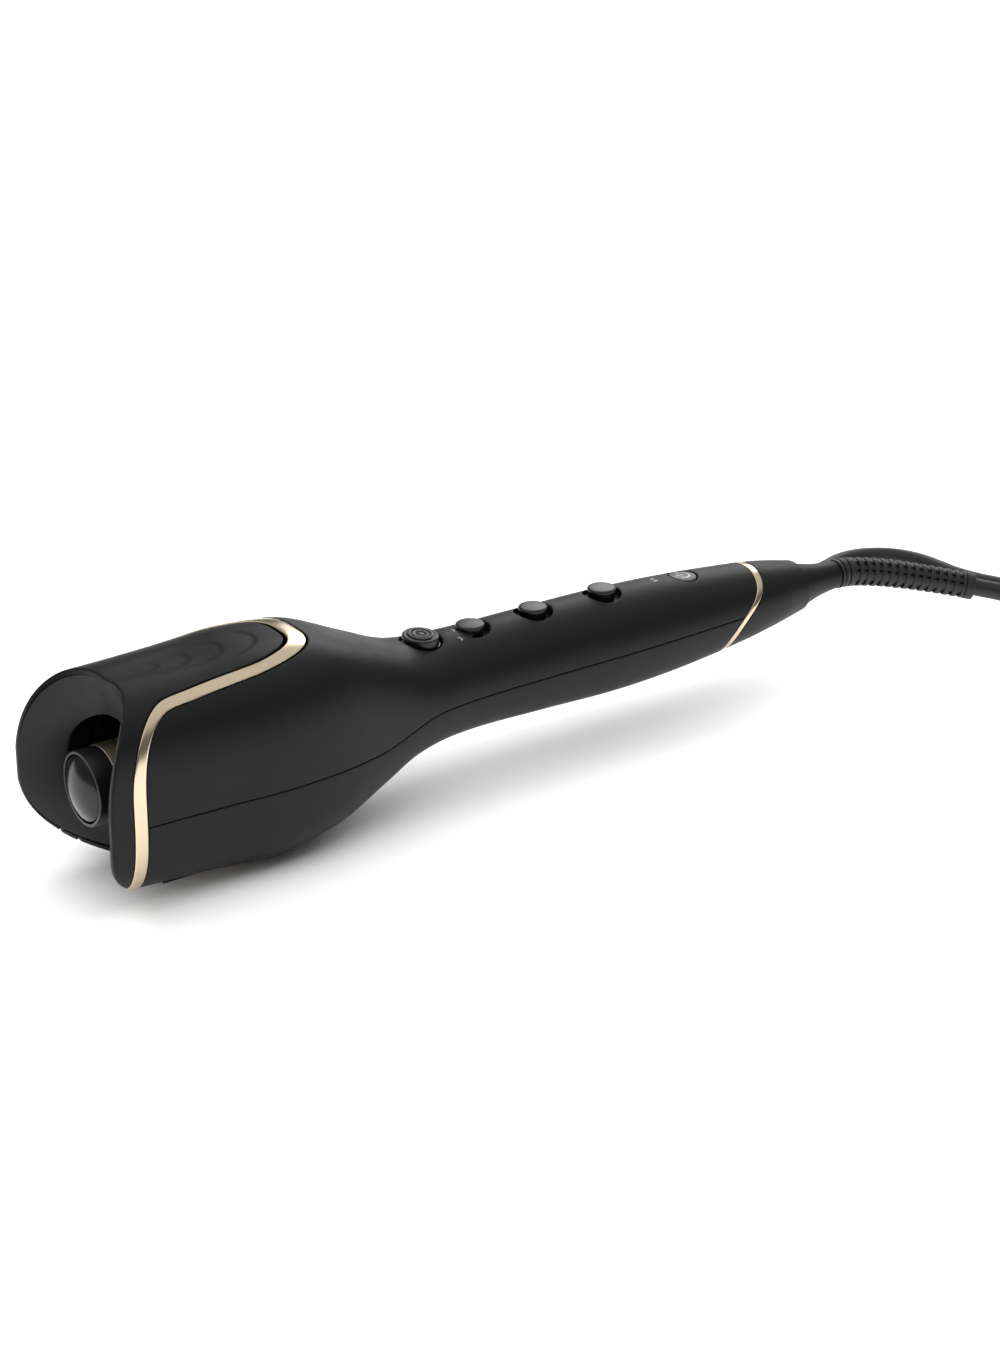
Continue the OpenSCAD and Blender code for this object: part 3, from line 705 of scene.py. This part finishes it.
def add_tail_ring():
    """The metallic ring between the handle and the tail cap."""
    x, a = patch((ring_front, ring_back), ROUND, spaced(3.1, 6, STRIP_GAPS), ROUND_STEPS)
    add_strip("tail_trim_ring.skin", "trim_gold", x, a, 0.1, lambda base: [base[:, 0], base[:, -1]],
              ["tail_trim_ring"])


def add_tail_cap():
    """The cap's side, its rounded shoulder and its flat end, down to the swivel cone."""
    end, bore, centre = 318.0, 6.15, np.array([0, 0.4])
    x, a = patch((cap_front, fixed(end)), ROUND, spaced(30, 34), ROUND_STEPS)
    base, into = skin(x, a), inward(x, a)
    outer = rounded(base, [base[:, 0]], EDGE_R, into)
    inner = base + into * SHELL_WALL
    at = lambda x, yz: np.concatenate([np.full((len(yz), 1), x), yz], 1)
    out = skin(end, a[:, -1])[:, 1:] - centre
    r = np.linalg.norm(out, axis=1, keepdims=True)
    rows = []
    for deg in (20, 40, 60, 80, 90):
        turn = math.radians(deg)
        rows.append(at(end + 0.8 * math.sin(turn), centre + out * (1 - 0.85 * (1 - math.cos(turn)) / r)))
    yz = rows[-1][:, 1:]
    yz = yz / np.linalg.norm(yz, axis=1, keepdims=True) * bore
    rows += [at(end + 0.8, yz), at(end - 2, yz), at(end - 2, inner[:, -1, 1:])]
    grid = np.concatenate([outer, np.stack(rows, 1), inner[:, ::-1]], 1)
    points, faces = Solid().grid(np.concatenate([grid, grid[:, :1]], 1), flip=True).compacted()
    add_piece("tail_cap.skin", points, faces, "shell_black", replaces=["tail_cap"], angle=50)


def hole(outer, inner, row_range, centre, radii, rings, side, room=1.2):
    """Opens a round hole in a two-sided grid: the cells to leave out, and the rings that line the hole.

    rings holds (extra radius, kind, height): kind "out" or "in" measures from the outer or inner
    surface, "flat" is a height.
    """
    low, high = row_range
    rows = np.arange(low, high)
    y = outer[rows][:, :, 1]
    near = np.abs(outer[rows][:, :, 0] - centre) < 3
    inside_rows = rows[(np.abs(np.where(near, y, 99)).min(1)) < radii[1] + room]
    i0, i1 = inside_rows.min() - 1, inside_rows.max() + 1
    x = outer[i0:i1 + 1, :, 0]
    j0 = np.nonzero(x.max(0) < centre - radii[0] - room)[0].max()
    j1 = np.nonzero(x.min(0) > centre + radii[0] + room)[0].min()
    loop = ([(i0, j) for j in range(j0, j1)] + [(i, j1) for i in range(i0, i1)]
            + [(i1, j) for j in range(j1, j0, -1)] + [(i, j0) for i in range(i1, i0, -1)])
    start = np.array([outer[i, j] for i, j in loop])
    finish = np.array([inner[i, j] for i, j in loop])
    phi = np.arctan2(start[:, 1] / radii[1], (start[:, 0] - centre) / radii[0])

    def ring(extra, kind, value):
        """The hole's outline, grown by extra, at the height that kind and value give."""
        px = centre + (radii[0] + extra) * np.cos(phi)
        py = (radii[1] + extra) * np.sin(phi)
        if kind == "flat":
            pz = np.full(px.shape, float(value))
        else:
            pz = skin_z(px, py, 0.0 if kind == "out" else SHELL_WALL, side) + side * value
        return np.stack([px, py, pz], 1)

    def between(a, b, t, off):
        """A ring part of the way from one ring to another, laid on the surface set in by off."""
        p = mix(a, b, t)
        p[:, 2] = skin_z(p[:, 0], p[:, 1], off, side)
        return p

    made = [ring(*r) for r in rings]
    lined = [between(start, made[0], t, 0.0) for t in (0.4, 0.75)] + made
    lined.append(between(made[-1], finish, 0.5, SHELL_WALL))
    cut = np.zeros((outer.shape[0] - 1, outer.shape[1] - 1), bool)
    cut[i0:i1, j0:j1] = True
    return cut, loop, lined


def round_in(r):
    """Rings of a rounded edge going down into a hole."""
    return [(r * (1 - math.sin(math.radians(d))), "out", -r * (1 - math.cos(math.radians(d))))
            for d in (0, 25, 50, 70, 90)]


def holed_body(name, outer, inner, faces, holes, index, replaces):
    """The closed body of a two-sided surface with holes; index maps a grid place to its point."""
    n = len(outer)
    loops = {index(i, j) for cut, loop, lined in holes for i, j in loop}
    points, made = thicken(outer, inner, faces, skip=loops)
    edges = {(f[k], f[(k + 1) % len(f)]) for f in faces for k in range(len(f))}
    for cut, loop, lined in holes:
        ids = [index(i, j) for i, j in loop]
        rows = [ids]
        for ring in lined:
            rows.append([len(points) + k for k in range(len(ring))])
            points = np.concatenate([points, ring])
        rows.append([k + n for k in ids])
        turned = (ids[0], ids[1]) in edges
        for a, b in zip(rows, rows[1:]):
            for k in range(len(a)):
                m = (k + 1) % len(a)
                quad = (a[m], a[k], b[k], b[m]) if turned else (a[k], a[m], b[m], b[k])
                made.append(quad)
    points, made = compact(points, made)
    add_piece(name, points, made, "shell_black", replaces=replaces, angle=50)


def skirt(z):
    """Rings of the wall round a control, down to z and back up to the inner surface."""
    return [(0, "flat", z), (0.9, "flat", z), (0.9, "in", 0.0)]


def upper_rows(x, v):
    """Row angles of the upper shell: they follow the parting line only near it, and are level on top."""
    edge = upper_edge(x)
    near_end = lambda q: np.clip(1 - q / 0.3, 0, 1) ** 2
    return math.pi * v + edge * (near_end(v) - near_end(1 - v))


def upper_steps(n):
    """Where the rows are: about even along the shell's front edge, which runs far back over the top."""
    v = np.linspace(0, 1, 3001)
    x = np.full(v.shape, 40.0)
    for _ in range(30):
        a = upper_rows(x, v)
        x = shell_front(a)
    step = np.linalg.norm(np.diff(skin(x, a), axis=0), axis=1) + 90 * np.diff(v)
    way = np.concatenate([[0], np.cumsum(step)])
    return np.interp(spaced(way[-1], n) * way[-1], way, v)


def add_upper_shell():
    """The upper half of the handle and the back of the head, with its five control openings."""
    x, a = patch((shell_front, shell_back), upper_rows, spaced(220, 200), upper_steps(140))
    base, into = skin(x, a), inward(x, a)
    outer = rounded(base, outline(base), EDGE_R, into)
    inner = base + into * SHELL_WALL
    middle = (len(base) // 4, 3 * len(base) // 4)
    # Each opening's place, half sizes, edge radius, and the height its wall goes down to.
    openings = [(CURL_X, (8.0, 8.4), 0.6, 16.4)] + [(x, (7.5, 7.5), 0.45, 16.4) for name, x in KNOBS]
    openings.append((POWER_X, (5.95, 5.95), 0.3, 14.4))
    holes = [hole(base, inner, middle, at, radii, round_in(r) + skirt(z), 1) for at, radii, r, z in openings]
    keep = ~np.any([h[0] for h in holes], axis=0)
    cols = base.shape[1]
    faces = quads(*base.shape[:2], keep=keep, flip=True)
    holed_body("upper_shell.skin", outer.reshape(-1, 3), inner.reshape(-1, 3), faces, holes,
               lambda i, j: i * cols + j, ["upper_shell"])


def add_lower_shell():
    """The lower half, in three grids: both sides of the hair slot, and all that is behind it."""
    near_a, far_a = float(slot_near(SLOT_END)), float(slot_far(SLOT_END))
    near_top = lambda x: math.pi - lower_edge(x)
    far_top = lambda x: TAU + lower_edge(x)
    v_near, v_slot, v_far = spaced(50, 34), spaced(32, 34), spaced(60, 40)

    def behind(x, v):
        """Angle at v, from 0 to 3: down the near side, across the slot's width, up the far side."""
        down, up = mix(near_top(x), near_a, v), mix(far_a, far_top(x), v - 2)
        return np.where(v <= 1, down, np.where(v <= 2, mix(near_a, far_a, v - 1), up))

    front, end = spaced(50, 46), fixed(SLOT_END)
    grids = [patch((shell_front, end), (near_top, slot_near), front, v_near),
             patch((shell_front, end), (slot_far, far_top), front, v_far),
             patch((end, shell_back), behind, spaced(220, 170),
                   np.concatenate([v_near, 1 + v_slot[1:], 2 + v_far[1:]]))]
    bases, intos = [skin(*g) for g in grids], [inward(*g) for g in grids]
    near, far, back = bases
    n0 = len(v_near) - 1
    n1 = n0 + len(v_slot) - 1
    lines = [near[0], near[-1], near[:, 0], far[0], far[-1], far[:, 0], back[0], back[-1], back[:, -1],
             back[n0:n1 + 1, 0]]
    outers = [rounded(base, lines, EDGE_R, into) for base, into in zip(bases, intos)]
    inners = [base + into * SHELL_WALL for base, into in zip(bases, intos)]
    rings = lambda seat: round_in(0.25) + [(0, "flat", seat), (-1.4, "flat", seat), (-1.4, "in", 0.0)]
    holes = [hole(back, inners[2], (n0 + 1, n1 - 1), at, (2.9, 2.9), rings(seat), -1, room=1.0)
             for at, seat in SCREWS]
    keep = ~np.any([h[0] for h in holes], axis=0)
    solid = Solid().grid(outers[0], flip=True).grid(outers[1], flip=True)
    offset, cols = solid.count, back.shape[1]
    outer = solid.grid(outers[2], keep=keep, flip=True).all_points()
    inner = np.concatenate([i.reshape(-1, 3) for i in inners])
    # Join the three grids where they meet, keeping each point's partner on the inside.
    _, first, back_to = np.unique(np.round(outer, 3), axis=0, return_index=True, return_inverse=True)
    same = first[back_to.ravel()]
    faces = [tuple(int(same[i]) for i in f) for f in solid.faces]
    faces = [f for f in faces if len(set(f)) == 4]
    holed_body("lower_shell.skin", outer, inner, faces, holes,
               lambda i, j: int(same[offset + i * cols + j]), ["lower_shell"])


def add_bezel():
    """The hood's flared mouth, from its front edge in to the chamber."""
    f = np.concatenate([np.linspace(0, 1, 34), [1, 1, 1]])
    back = np.concatenate([np.zeros(34), [0.1, 0.3, 0.6]])

    def point(a, f):
        p = skin(0.0, a, 2.25)
        d = np.hypot(p[..., 1], p[..., 2])
        x0 = rim(a)
        r = mix(d, MOUTH_R, f)
        x = mix(x0 + 0.06, 0.4 * x0 + 10, f ** 1.3)
        return np.stack([x, p[..., 1] / d * r, p[..., 2] / d * r], -1)

    # At each f, the far and near ends of the ring lie on the sides of the hair slot.
    near = root(lambda a: point(a, f)[..., 1] - SLOT_NEAR, 1.5 * math.pi, 1.5 * math.pi - 1.3)
    far = root(lambda a: SLOT_FAR - point(a, f)[..., 1], -math.pi / 2, 0.0)
    v = spaced(180, 150, (0, 0.1, 0.2, 0.35, 0.6))[:, None]
    a = mix(far, near, v)
    front = point(a, f[None] + 0 * a)
    front[..., 0] += back
    front[:, -3, 1:] *= 1.004
    deep = front + np.array([1.7, 0, 0]) * mix(1.0, 0.35, smooth((f - 0.8) / 0.2))[None, :, None]
    points, faces = compact(*thicken(front.reshape(-1, 3), deep.reshape(-1, 3), quads(*front.shape[:2])))
    add_piece("front_bezel.flare", points, faces, "bezel_grey", replaces=["front_bezel"], angle=40)


add_hood()
add_head_trim()
add_upper_shell()
add_lower_shell()
add_tail_ring()
add_tail_cap()
add_bezel()


# ---- barrel, tip and swivel

def turned_x(name, profile, slot, replaces, body="housing", angle=35):
    """A part turned round the device's axis from a closed profile of (x, r)."""
    rows = np.array(list(profile) + [profile[0]])
    x, r = rows[:, :1], rows[:, 1:]
    phi = TAU * np.arange(128) / 128
    grid = np.stack([x + 0 * phi, r * np.cos(phi), r * np.sin(phi)], -1)
    points, faces = Solid().grid(grid, wrap=True).compacted()
    add_piece(name, points, faces, slot, body=body, replaces=replaces, angle=angle)


def add_barrel():
    """The heated tube, the black ring at its tip and the dome that closes it."""
    turned_x("heated_barrel.tube", [(8.02, 12.4), (8.02, 13.8), (8.2, 14.0), (64.3, 14.0), (64.5, 13.8),
                                    (64.5, 13.75), (74.0, 13.75), (74.0, 12.4)],
             "barrel_gold", ["heated_barrel"])
    ring = [(0.45, 12.45)] + arc(0.35, 12.72, 0.27, 225, 180, 3)[1:] + [(0.0, 12.9)]
    ring += [(0.0, 13.2)] + arc(0.55, 13.2, 0.55, 180, 90, 6)[1:]
    ring += [(7.98, 13.75), (7.98, 12.4), (14.0, 12.4), (14.0, 10.8), (3.0, 10.8), (3.0, 12.45)]
    turned_x("barrel_tip_sleeve.ring", ring, "tip_black", ["barrel_tip_sleeve"])
    ball, front = 20.26, 16.66
    dome = [(front - ball * math.cos(a), ball * math.sin(a)) for a in np.linspace(0.0, 0.61, 26)]
    edge = arc(0.55, 11.45, 0.55, 118, 90, 4)
    turned_x("tip_dome_cap.dome", dome[:-1] + edge + [(2.5, 12.0), (2.5, 10.75), (9.0, 10.75), (9.0, 0.0)],
             "dome_black", ["tip_dome_cap"])


def add_swivel_cone():
    """The flared cone that turns in the tail and holds the cord."""
    flare = [(319.0, 8.6), (319.15, 9.0), (319.5, 9.2), (320.4, 8.95), (322.0, 8.5), (324.0, 7.95),
             (326.0, 7.42), (328.0, 6.98), (330.0, 6.6), (332.0, 6.3), (334.0, 6.05), (336.0, 5.86),
             (338.0, 5.7), (339.6, 5.62), (340.0, 5.4)]
    turned_x("swivel_cone.flare", [(298.3, 2.0), (298.3, 6.2), (299.2, 6.2), (299.2, 4.5), (319.0, 4.5)]
             + flare + [(340.0, 2.0)], "shell_black", ["swivel_cone"], body="cord_swivel", angle=40)


# ---- controls

def turned_z(rings, steps=96):
    """Points and faces of a part turned about a vertical axis, at the device's origin.

    rings are (half x, half y, z), from the bottom up, where any of the three may be an array round the part.
    """
    phi = TAU * np.arange(steps) / steps
    rows = [np.stack([rx * np.cos(phi), ry * np.sin(phi), z + 0 * phi], 1) for rx, ry, z in rings]
    return Solid().grid(np.stack(rows), wrap=True).compacted()


def block(low, high):
    """Points and faces of a box."""
    x, y, z = zip(low, high)
    points = [(x[i], y[j], z[k]) for i in (0, 1) for j in (0, 1) for k in (0, 1)]
    return points, [(0, 1, 3, 2), (4, 6, 7, 5), (0, 4, 5, 1), (2, 3, 7, 6), (0, 2, 6, 4), (1, 5, 7, 3)]


def add_knobs():
    """Three round slider knobs, each on a thin stem."""
    rings = [(0, 0, 17.9), (4.9, 4.9, 17.9), (5.1, 5.1, 18.1), (5.15, 5.15, 20.5), (5.4, 5.4, 21.1),
             (5.5, 5.5, 21.4)]
    for deg in (0, 20, 40, 60, 80):
        c, s = math.cos(math.radians(deg)), math.sin(math.radians(deg))
        rings.append((4.6 + 0.9 * c, 4.6 + 0.9 * c, 21.7 + 0.8 * s))
    rings += [(4.2, 4.2, 22.53), (3.2, 3.2, 22.6), (2.0, 2.0, 22.66), (1.0, 1.0, 22.69), (0, 0, 22.7)]
    for name, x in KNOBS:
        solid = Solid().add(*turned_z(rings)).add(*block((-1.2, -1.5, 7.4), (1.2, 1.5, 18.0)))
        add_piece(name + ".knob", solid.all_points() + [x, 0, 0], solid.faces, "button_black",
                  body=name, replaces=[name], angle=40)


def add_curl_button():
    """The big button: a scooped lip that dips towards the near front, a rounded rim and a domed crown."""
    steps = 144
    phi = TAU * np.arange(steps) / steps
    deep = 0.5 + 0.5 * np.cos(phi + math.radians(48))
    lip = 21.7 - 1.55 * smooth(deep * 1.25 - 0.15) + 0.12 * np.sin(3 * phi + 0.6)
    rings = [(0, 0, 10.2), (1.8, 1.8, 10.2), (1.8, 1.8, 19.4), (7.2, 7.7, 19.4), (7.2, 7.7, 19.8)]
    rings += [(5.4, 6.6, 20.0), (5.4, 6.6, lip + 0.1), (6.2, 7.35, lip), (6.5, 7.65, lip + 0.12),
              (6.6, 7.75, lip + 0.4), (6.55, 7.7, mix(lip + 0.5, 22.9, 0.5)), (6.45, 7.6, 22.7)]
    for deg in (15, 35, 55, 75, 90):
        c, s = math.cos(math.radians(deg)), math.sin(math.radians(deg))
        rings.append((5.75 + 0.7 * c, 6.9 + 0.7 * c, 22.8 + 0.6 * s))
    rings += [(5.2, 6.3, 23.36), (4.75, 5.75, 23.3), (4.6, 5.6, 23.35), (4.5, 5.5, 23.75),
              (4.35, 5.35, 23.86), (4.1, 5.1, 23.9), (3.6, 4.5, 23.9), (3.45, 4.35, 23.86), (3.3, 4.15, 23.6),
              (3.1, 3.9, 23.6), (2.95, 3.7, 23.84), (2.8, 3.5, 23.87), (1.9, 2.4, 23.84), (1.75, 2.2, 23.8),
              (1.65, 2.05, 23.55), (1.4, 1.75, 23.55), (1.3, 1.6, 23.76), (1.15, 1.4, 23.8), (0, 0, 23.8)]
    points, faces = turned_z(rings, steps)
    add_piece("curl_button.cap", points + [CURL_X, 0, 0], faces, "button_black", body="curl_button",
              replaces=["curl_button"], angle=50)


def add_ribbons(name, paths, width, top, bottom, surface=skin_z, body="housing", replaces=()):
    """A piece made of closed strips along plan paths; top and bottom are heights over the surface."""
    solid = Solid()
    for path in paths:
        path = np.asarray(path, float)
        way = np.gradient(path, axis=0)
        way /= np.linalg.norm(way, axis=1, keepdims=True)
        side = np.stack([-way[:, 1], way[:, 0]], 1)
        rows = []
        for k, h in ((-0.5, bottom), (-0.5, top - 0.02), (-0.4, top), (0.4, top), (0.5, top - 0.02),
                     (0.5, bottom)):
            x, y = (path + side * width * k).T
            rows.append(np.stack([x, y, surface(x, y) + h], 1))
        solid.tube(np.stack(rows, 1), flip=True)
    add_piece(name, solid.all_points(), solid.faces, "lens_white", body=body, replaces=replaces, angle=40)


def plan_arc(cx, cy, r, a0, a1, n=24):
    """Arc seen from above, angles in degrees."""
    a = np.radians(np.linspace(a0, a1, n + 1))
    return np.stack([cx + r * np.cos(a), cy + r * np.sin(a)], 1)


def power_top(x, y):
    """Height of the power button's top, just under the shell's surface."""
    return skin_z(x, y) - 0.12


def add_power_button():
    """The round power button, flush with the shell, and its plain broken ring with a stroke."""
    steps = 96
    phi = TAU * np.arange(steps) / steps
    c, s = np.cos(phi), np.sin(phi)
    rings = [(0, 0, 7.4), (1.5, 1.5, 7.4), (1.5, 1.5, 15.6), (1.6, 1.6, 16.3), (5.3, 5.3, 16.3)]
    for r, drop in ((5.6, 0.9), (5.6, 0.55), (5.57, 0.36), (5.47, 0.2), (5.3, 0.08), (5.05, 0.02), (4.7, 0),
                    (4.0, 0), (3.2, 0), (2.4, 0), (1.6, 0), (0.8, 0), (0, 0)):
        rings.append((r, r, power_top(POWER_X + r * c, r * s) - drop))
    points, faces = turned_z(rings, steps)
    add_piece("power_button.cap", points + [POWER_X, 0, 0], faces, "button_black", body="power_button",
              replaces=["power_button"], angle=40)
    stroke = [(POWER_X - 3.1 + 0.4 * k, 0) for k in range(9)]
    add_ribbons("power_button.icon", [plan_arc(POWER_X, 0, 2.6, -140, 140, 48), stroke], 0.62, 0.06, -0.2,
                power_top, body="power_button")


def add_marks():
    """Plain strokes beside the first slider, and the two bars of the indicator light."""
    wave = [(154.7 + 0.45 * math.sin(2.2 * k), -5.9 + 2.2 * k / 2 - 1.1) for k in np.linspace(0, 2, 25)]
    strokes = [plan_arc(155.4, 5.3, 0.7, 60, 120), plan_arc(155.1, 0.3, 0.9, -70, 70), wave]
    add_ribbons("upper_shell.marks", strokes, 0.34, 0.03, -0.3)
    bars = [[(LED_X - 0.85 + 0.34 * k, y) for k in range(6)] for y in (-1.1, 1.1)]
    add_ribbons("led_lenses.bars", bars, 0.7, 0.05, -6.0, replaces=["led_lenses"])


# ---- strain relief

def relief_path(n=400):
    """Centre line of the strain relief, evenly spaced, with its directions, in device millimetres."""
    a, b = np.array([147.3, 0, AXIS_H]), np.array(LEAD[0], float)
    ta, tb = np.array([44.0, 0, 0]), np.array([44.0, -29, -11])
    t = np.linspace(0, 1, 800)[:, None]
    p = hermite(a, b, ta, tb, t)
    along = np.concatenate([[0], np.cumsum(np.linalg.norm(np.diff(p, axis=0), axis=1))])
    even = np.linspace(0, along[-1], n)
    p = np.stack([np.interp(even, along, p[:, k]) for k in range(3)], 1)
    way = np.gradient(p, axis=0)
    way /= np.linalg.norm(way, axis=1, keepdims=True)
    return p + [X_MID, 0, -AXIS_H], way, even


def bell(x, low, high, soft):
    """1 between low and high, falling to 0 over soft on both sides."""
    return smooth((x - low) / soft + 0.5) * smooth((high - x) / soft + 0.5)


def add_strain_relief():
    """The ribbed sleeve from the swivel cone to the cord: two plain rings, bridged gaps and a collar."""
    rows, cols = 640, 120
    p, way, at = relief_path(rows)
    side = np.cross(way, [0, 0, 1.0])
    side /= np.linalg.norm(side, axis=1, keepdims=True)
    up = np.cross(side, way)
    phi = TAU * np.arange(cols) / cols
    total = at[-1]
    size = mix(5.9, 5.3, at / total)[:, None]
    radius = np.zeros((rows, cols)) + size
    for groove in (1.9, 4.7):
        radius -= 0.7 * bell(at, groove - 0.25, groove + 0.25, 0.22)[:, None]
    gaps, first, last = 14, 7.0, 4.6
    pitch = (total - first - last) / gaps
    degrees = np.degrees(phi)[None]
    for k in range(gaps):
        centre = first + pitch * (k + 0.5)
        gap = bell(at, centre - 0.22 * pitch, centre + 0.22 * pitch, 0.2)[:, None]
        # Middle and half width, in degrees, of the windows between the blocks that bridge the gap.
        open_at = np.zeros((1, cols))
        for mid, half in ((59.5, 9), (26.5, 3.2), (-38, 17), (149.5, 9), (206.5, 3.2), (232, 17)):
            off = (degrees - mid + 180) % 360 - 180
            open_at = np.maximum(open_at, bell(off, -half, half, 3.0))
        radius -= gap * (0.42 + 0.95 * open_at)
    end = np.clip((at - (total - 3.8)) / 3.8, 0, 1)[:, None]
    radius = np.where(end > 0, 5.42 - 0.9 * np.maximum(0, (end - 0.8) / 0.2) ** 2.2, radius)
    radius -= 0.5 * bell(at, total - 4.1, total - 3.8, 0.2)[:, None]
    ring = side[:, None] * np.cos(phi)[None, :, None] + up[:, None] * np.sin(phi)[None, :, None]
    grid = p[:, None] + ring * radius[..., None]
    solid = Solid().tube(grid)
    add_piece("strain_relief.ribs", solid.all_points(), solid.faces, "cord_black",
              replaces=["strain_relief"], angle=35)


add_barrel()
add_swivel_cone()
add_knobs()
add_curl_button()
add_power_button()
add_marks()
add_strain_relief()


# ---- the CAD's own parts

def dress_cad_nodes():
    """Gives every CAD node its slot's material, and softens the plug's and the tie's edges."""
    for part in frame["record"]["subparts"]:
        obj = frame["nodes"][part["node"]]
        obj.data.materials.clear()
        obj.data.materials.append(MATS[part["material_slot"]])
        obj.data.set_sharp_from_angle(angle=math.radians(32))
    for name, width in (("plug_body", 1.1), ("plug_pins", 0.5), ("cord_tie", 0.4), ("hair_hook", 0.5),
                        ("rotor", 0.3), ("barrel_base", 0.3), ("gear_motor", 0.5)):
        bevel = frame["nodes"][name].modifiers.new("soft_edges", "BEVEL")
        bevel.width = width * MM
        bevel.segments = 3
        bevel.limit_method = "ANGLE"
        bevel.angle_limit = math.radians(38)
        bevel.harden_normals = False


dress_cad_nodes()


# ---- floor and light

def add_floor():
    """Plain pale paper, far wider than the view."""
    mesh = bpy.data.meshes.new("floor")
    mesh.from_pydata([(-6, -6, 0), (6, -6, 0), (6, 6, 0), (-6, 6, 0)], [], [(0, 1, 2, 3)])
    floor = add_object("floor", mesh)
    mat = new_material("floor_paper", (0.86, 0.86, 0.86), 0.9, specular=0.1)
    vary_value(mat, noise(mat, 8), "Roughness", 0.9, 0.04)
    mesh.materials.append(mat)


def add_light(name, at, to, size, power, glossy=True):
    """A rectangular soft box at one place, facing another; without glossy it casts no reflection."""
    data = bpy.data.lights.new(name, "AREA")
    data.shape = "RECTANGLE"
    data.size, data.size_y = size
    data.energy = power
    lamp = add_object(name, data)
    aim(lamp, at, Vector(to) - Vector(at))
    lamp.visible_glossy = glossy


def add_world():
    """Studio surround: bright overhead, darker towards the horizon."""
    world = bpy.data.worlds.new("studio")
    bpy.context.scene.world = world
    world.use_nodes = True
    tree = world.node_tree
    back = tree.nodes["Background"]
    coords = tree.nodes.new("ShaderNodeTexCoord")
    parts = tree.nodes.new("ShaderNodeSeparateXYZ")
    ramp = tree.nodes.new("ShaderNodeValToRGB")
    tree.links.new(coords.outputs["Generated"], parts.inputs["Vector"])
    tree.links.new(parts.outputs["Z"], ramp.inputs["Fac"])
    tree.links.new(ramp.outputs["Color"], back.inputs["Color"])
    steps = ramp.color_ramp.elements
    steps.new(0.38)
    steps.new(0.62)
    for step, level in zip(steps, (0.10, 0.16, 0.62, 0.75)):
        step.color = (level, level, level, 1)


add_floor()
add_world()
add_light("overhead", (0.1, 0.7, 2.4), (0.1, 0.7, 0), (5.0, 5.0), 175, glossy=False)
add_light("back_box", (1.5, 1.3, 1.0), (0, 0, 0.05), (1.2, 0.9), 11)
bpy.context.scene.view_settings.view_transform = "Standard"
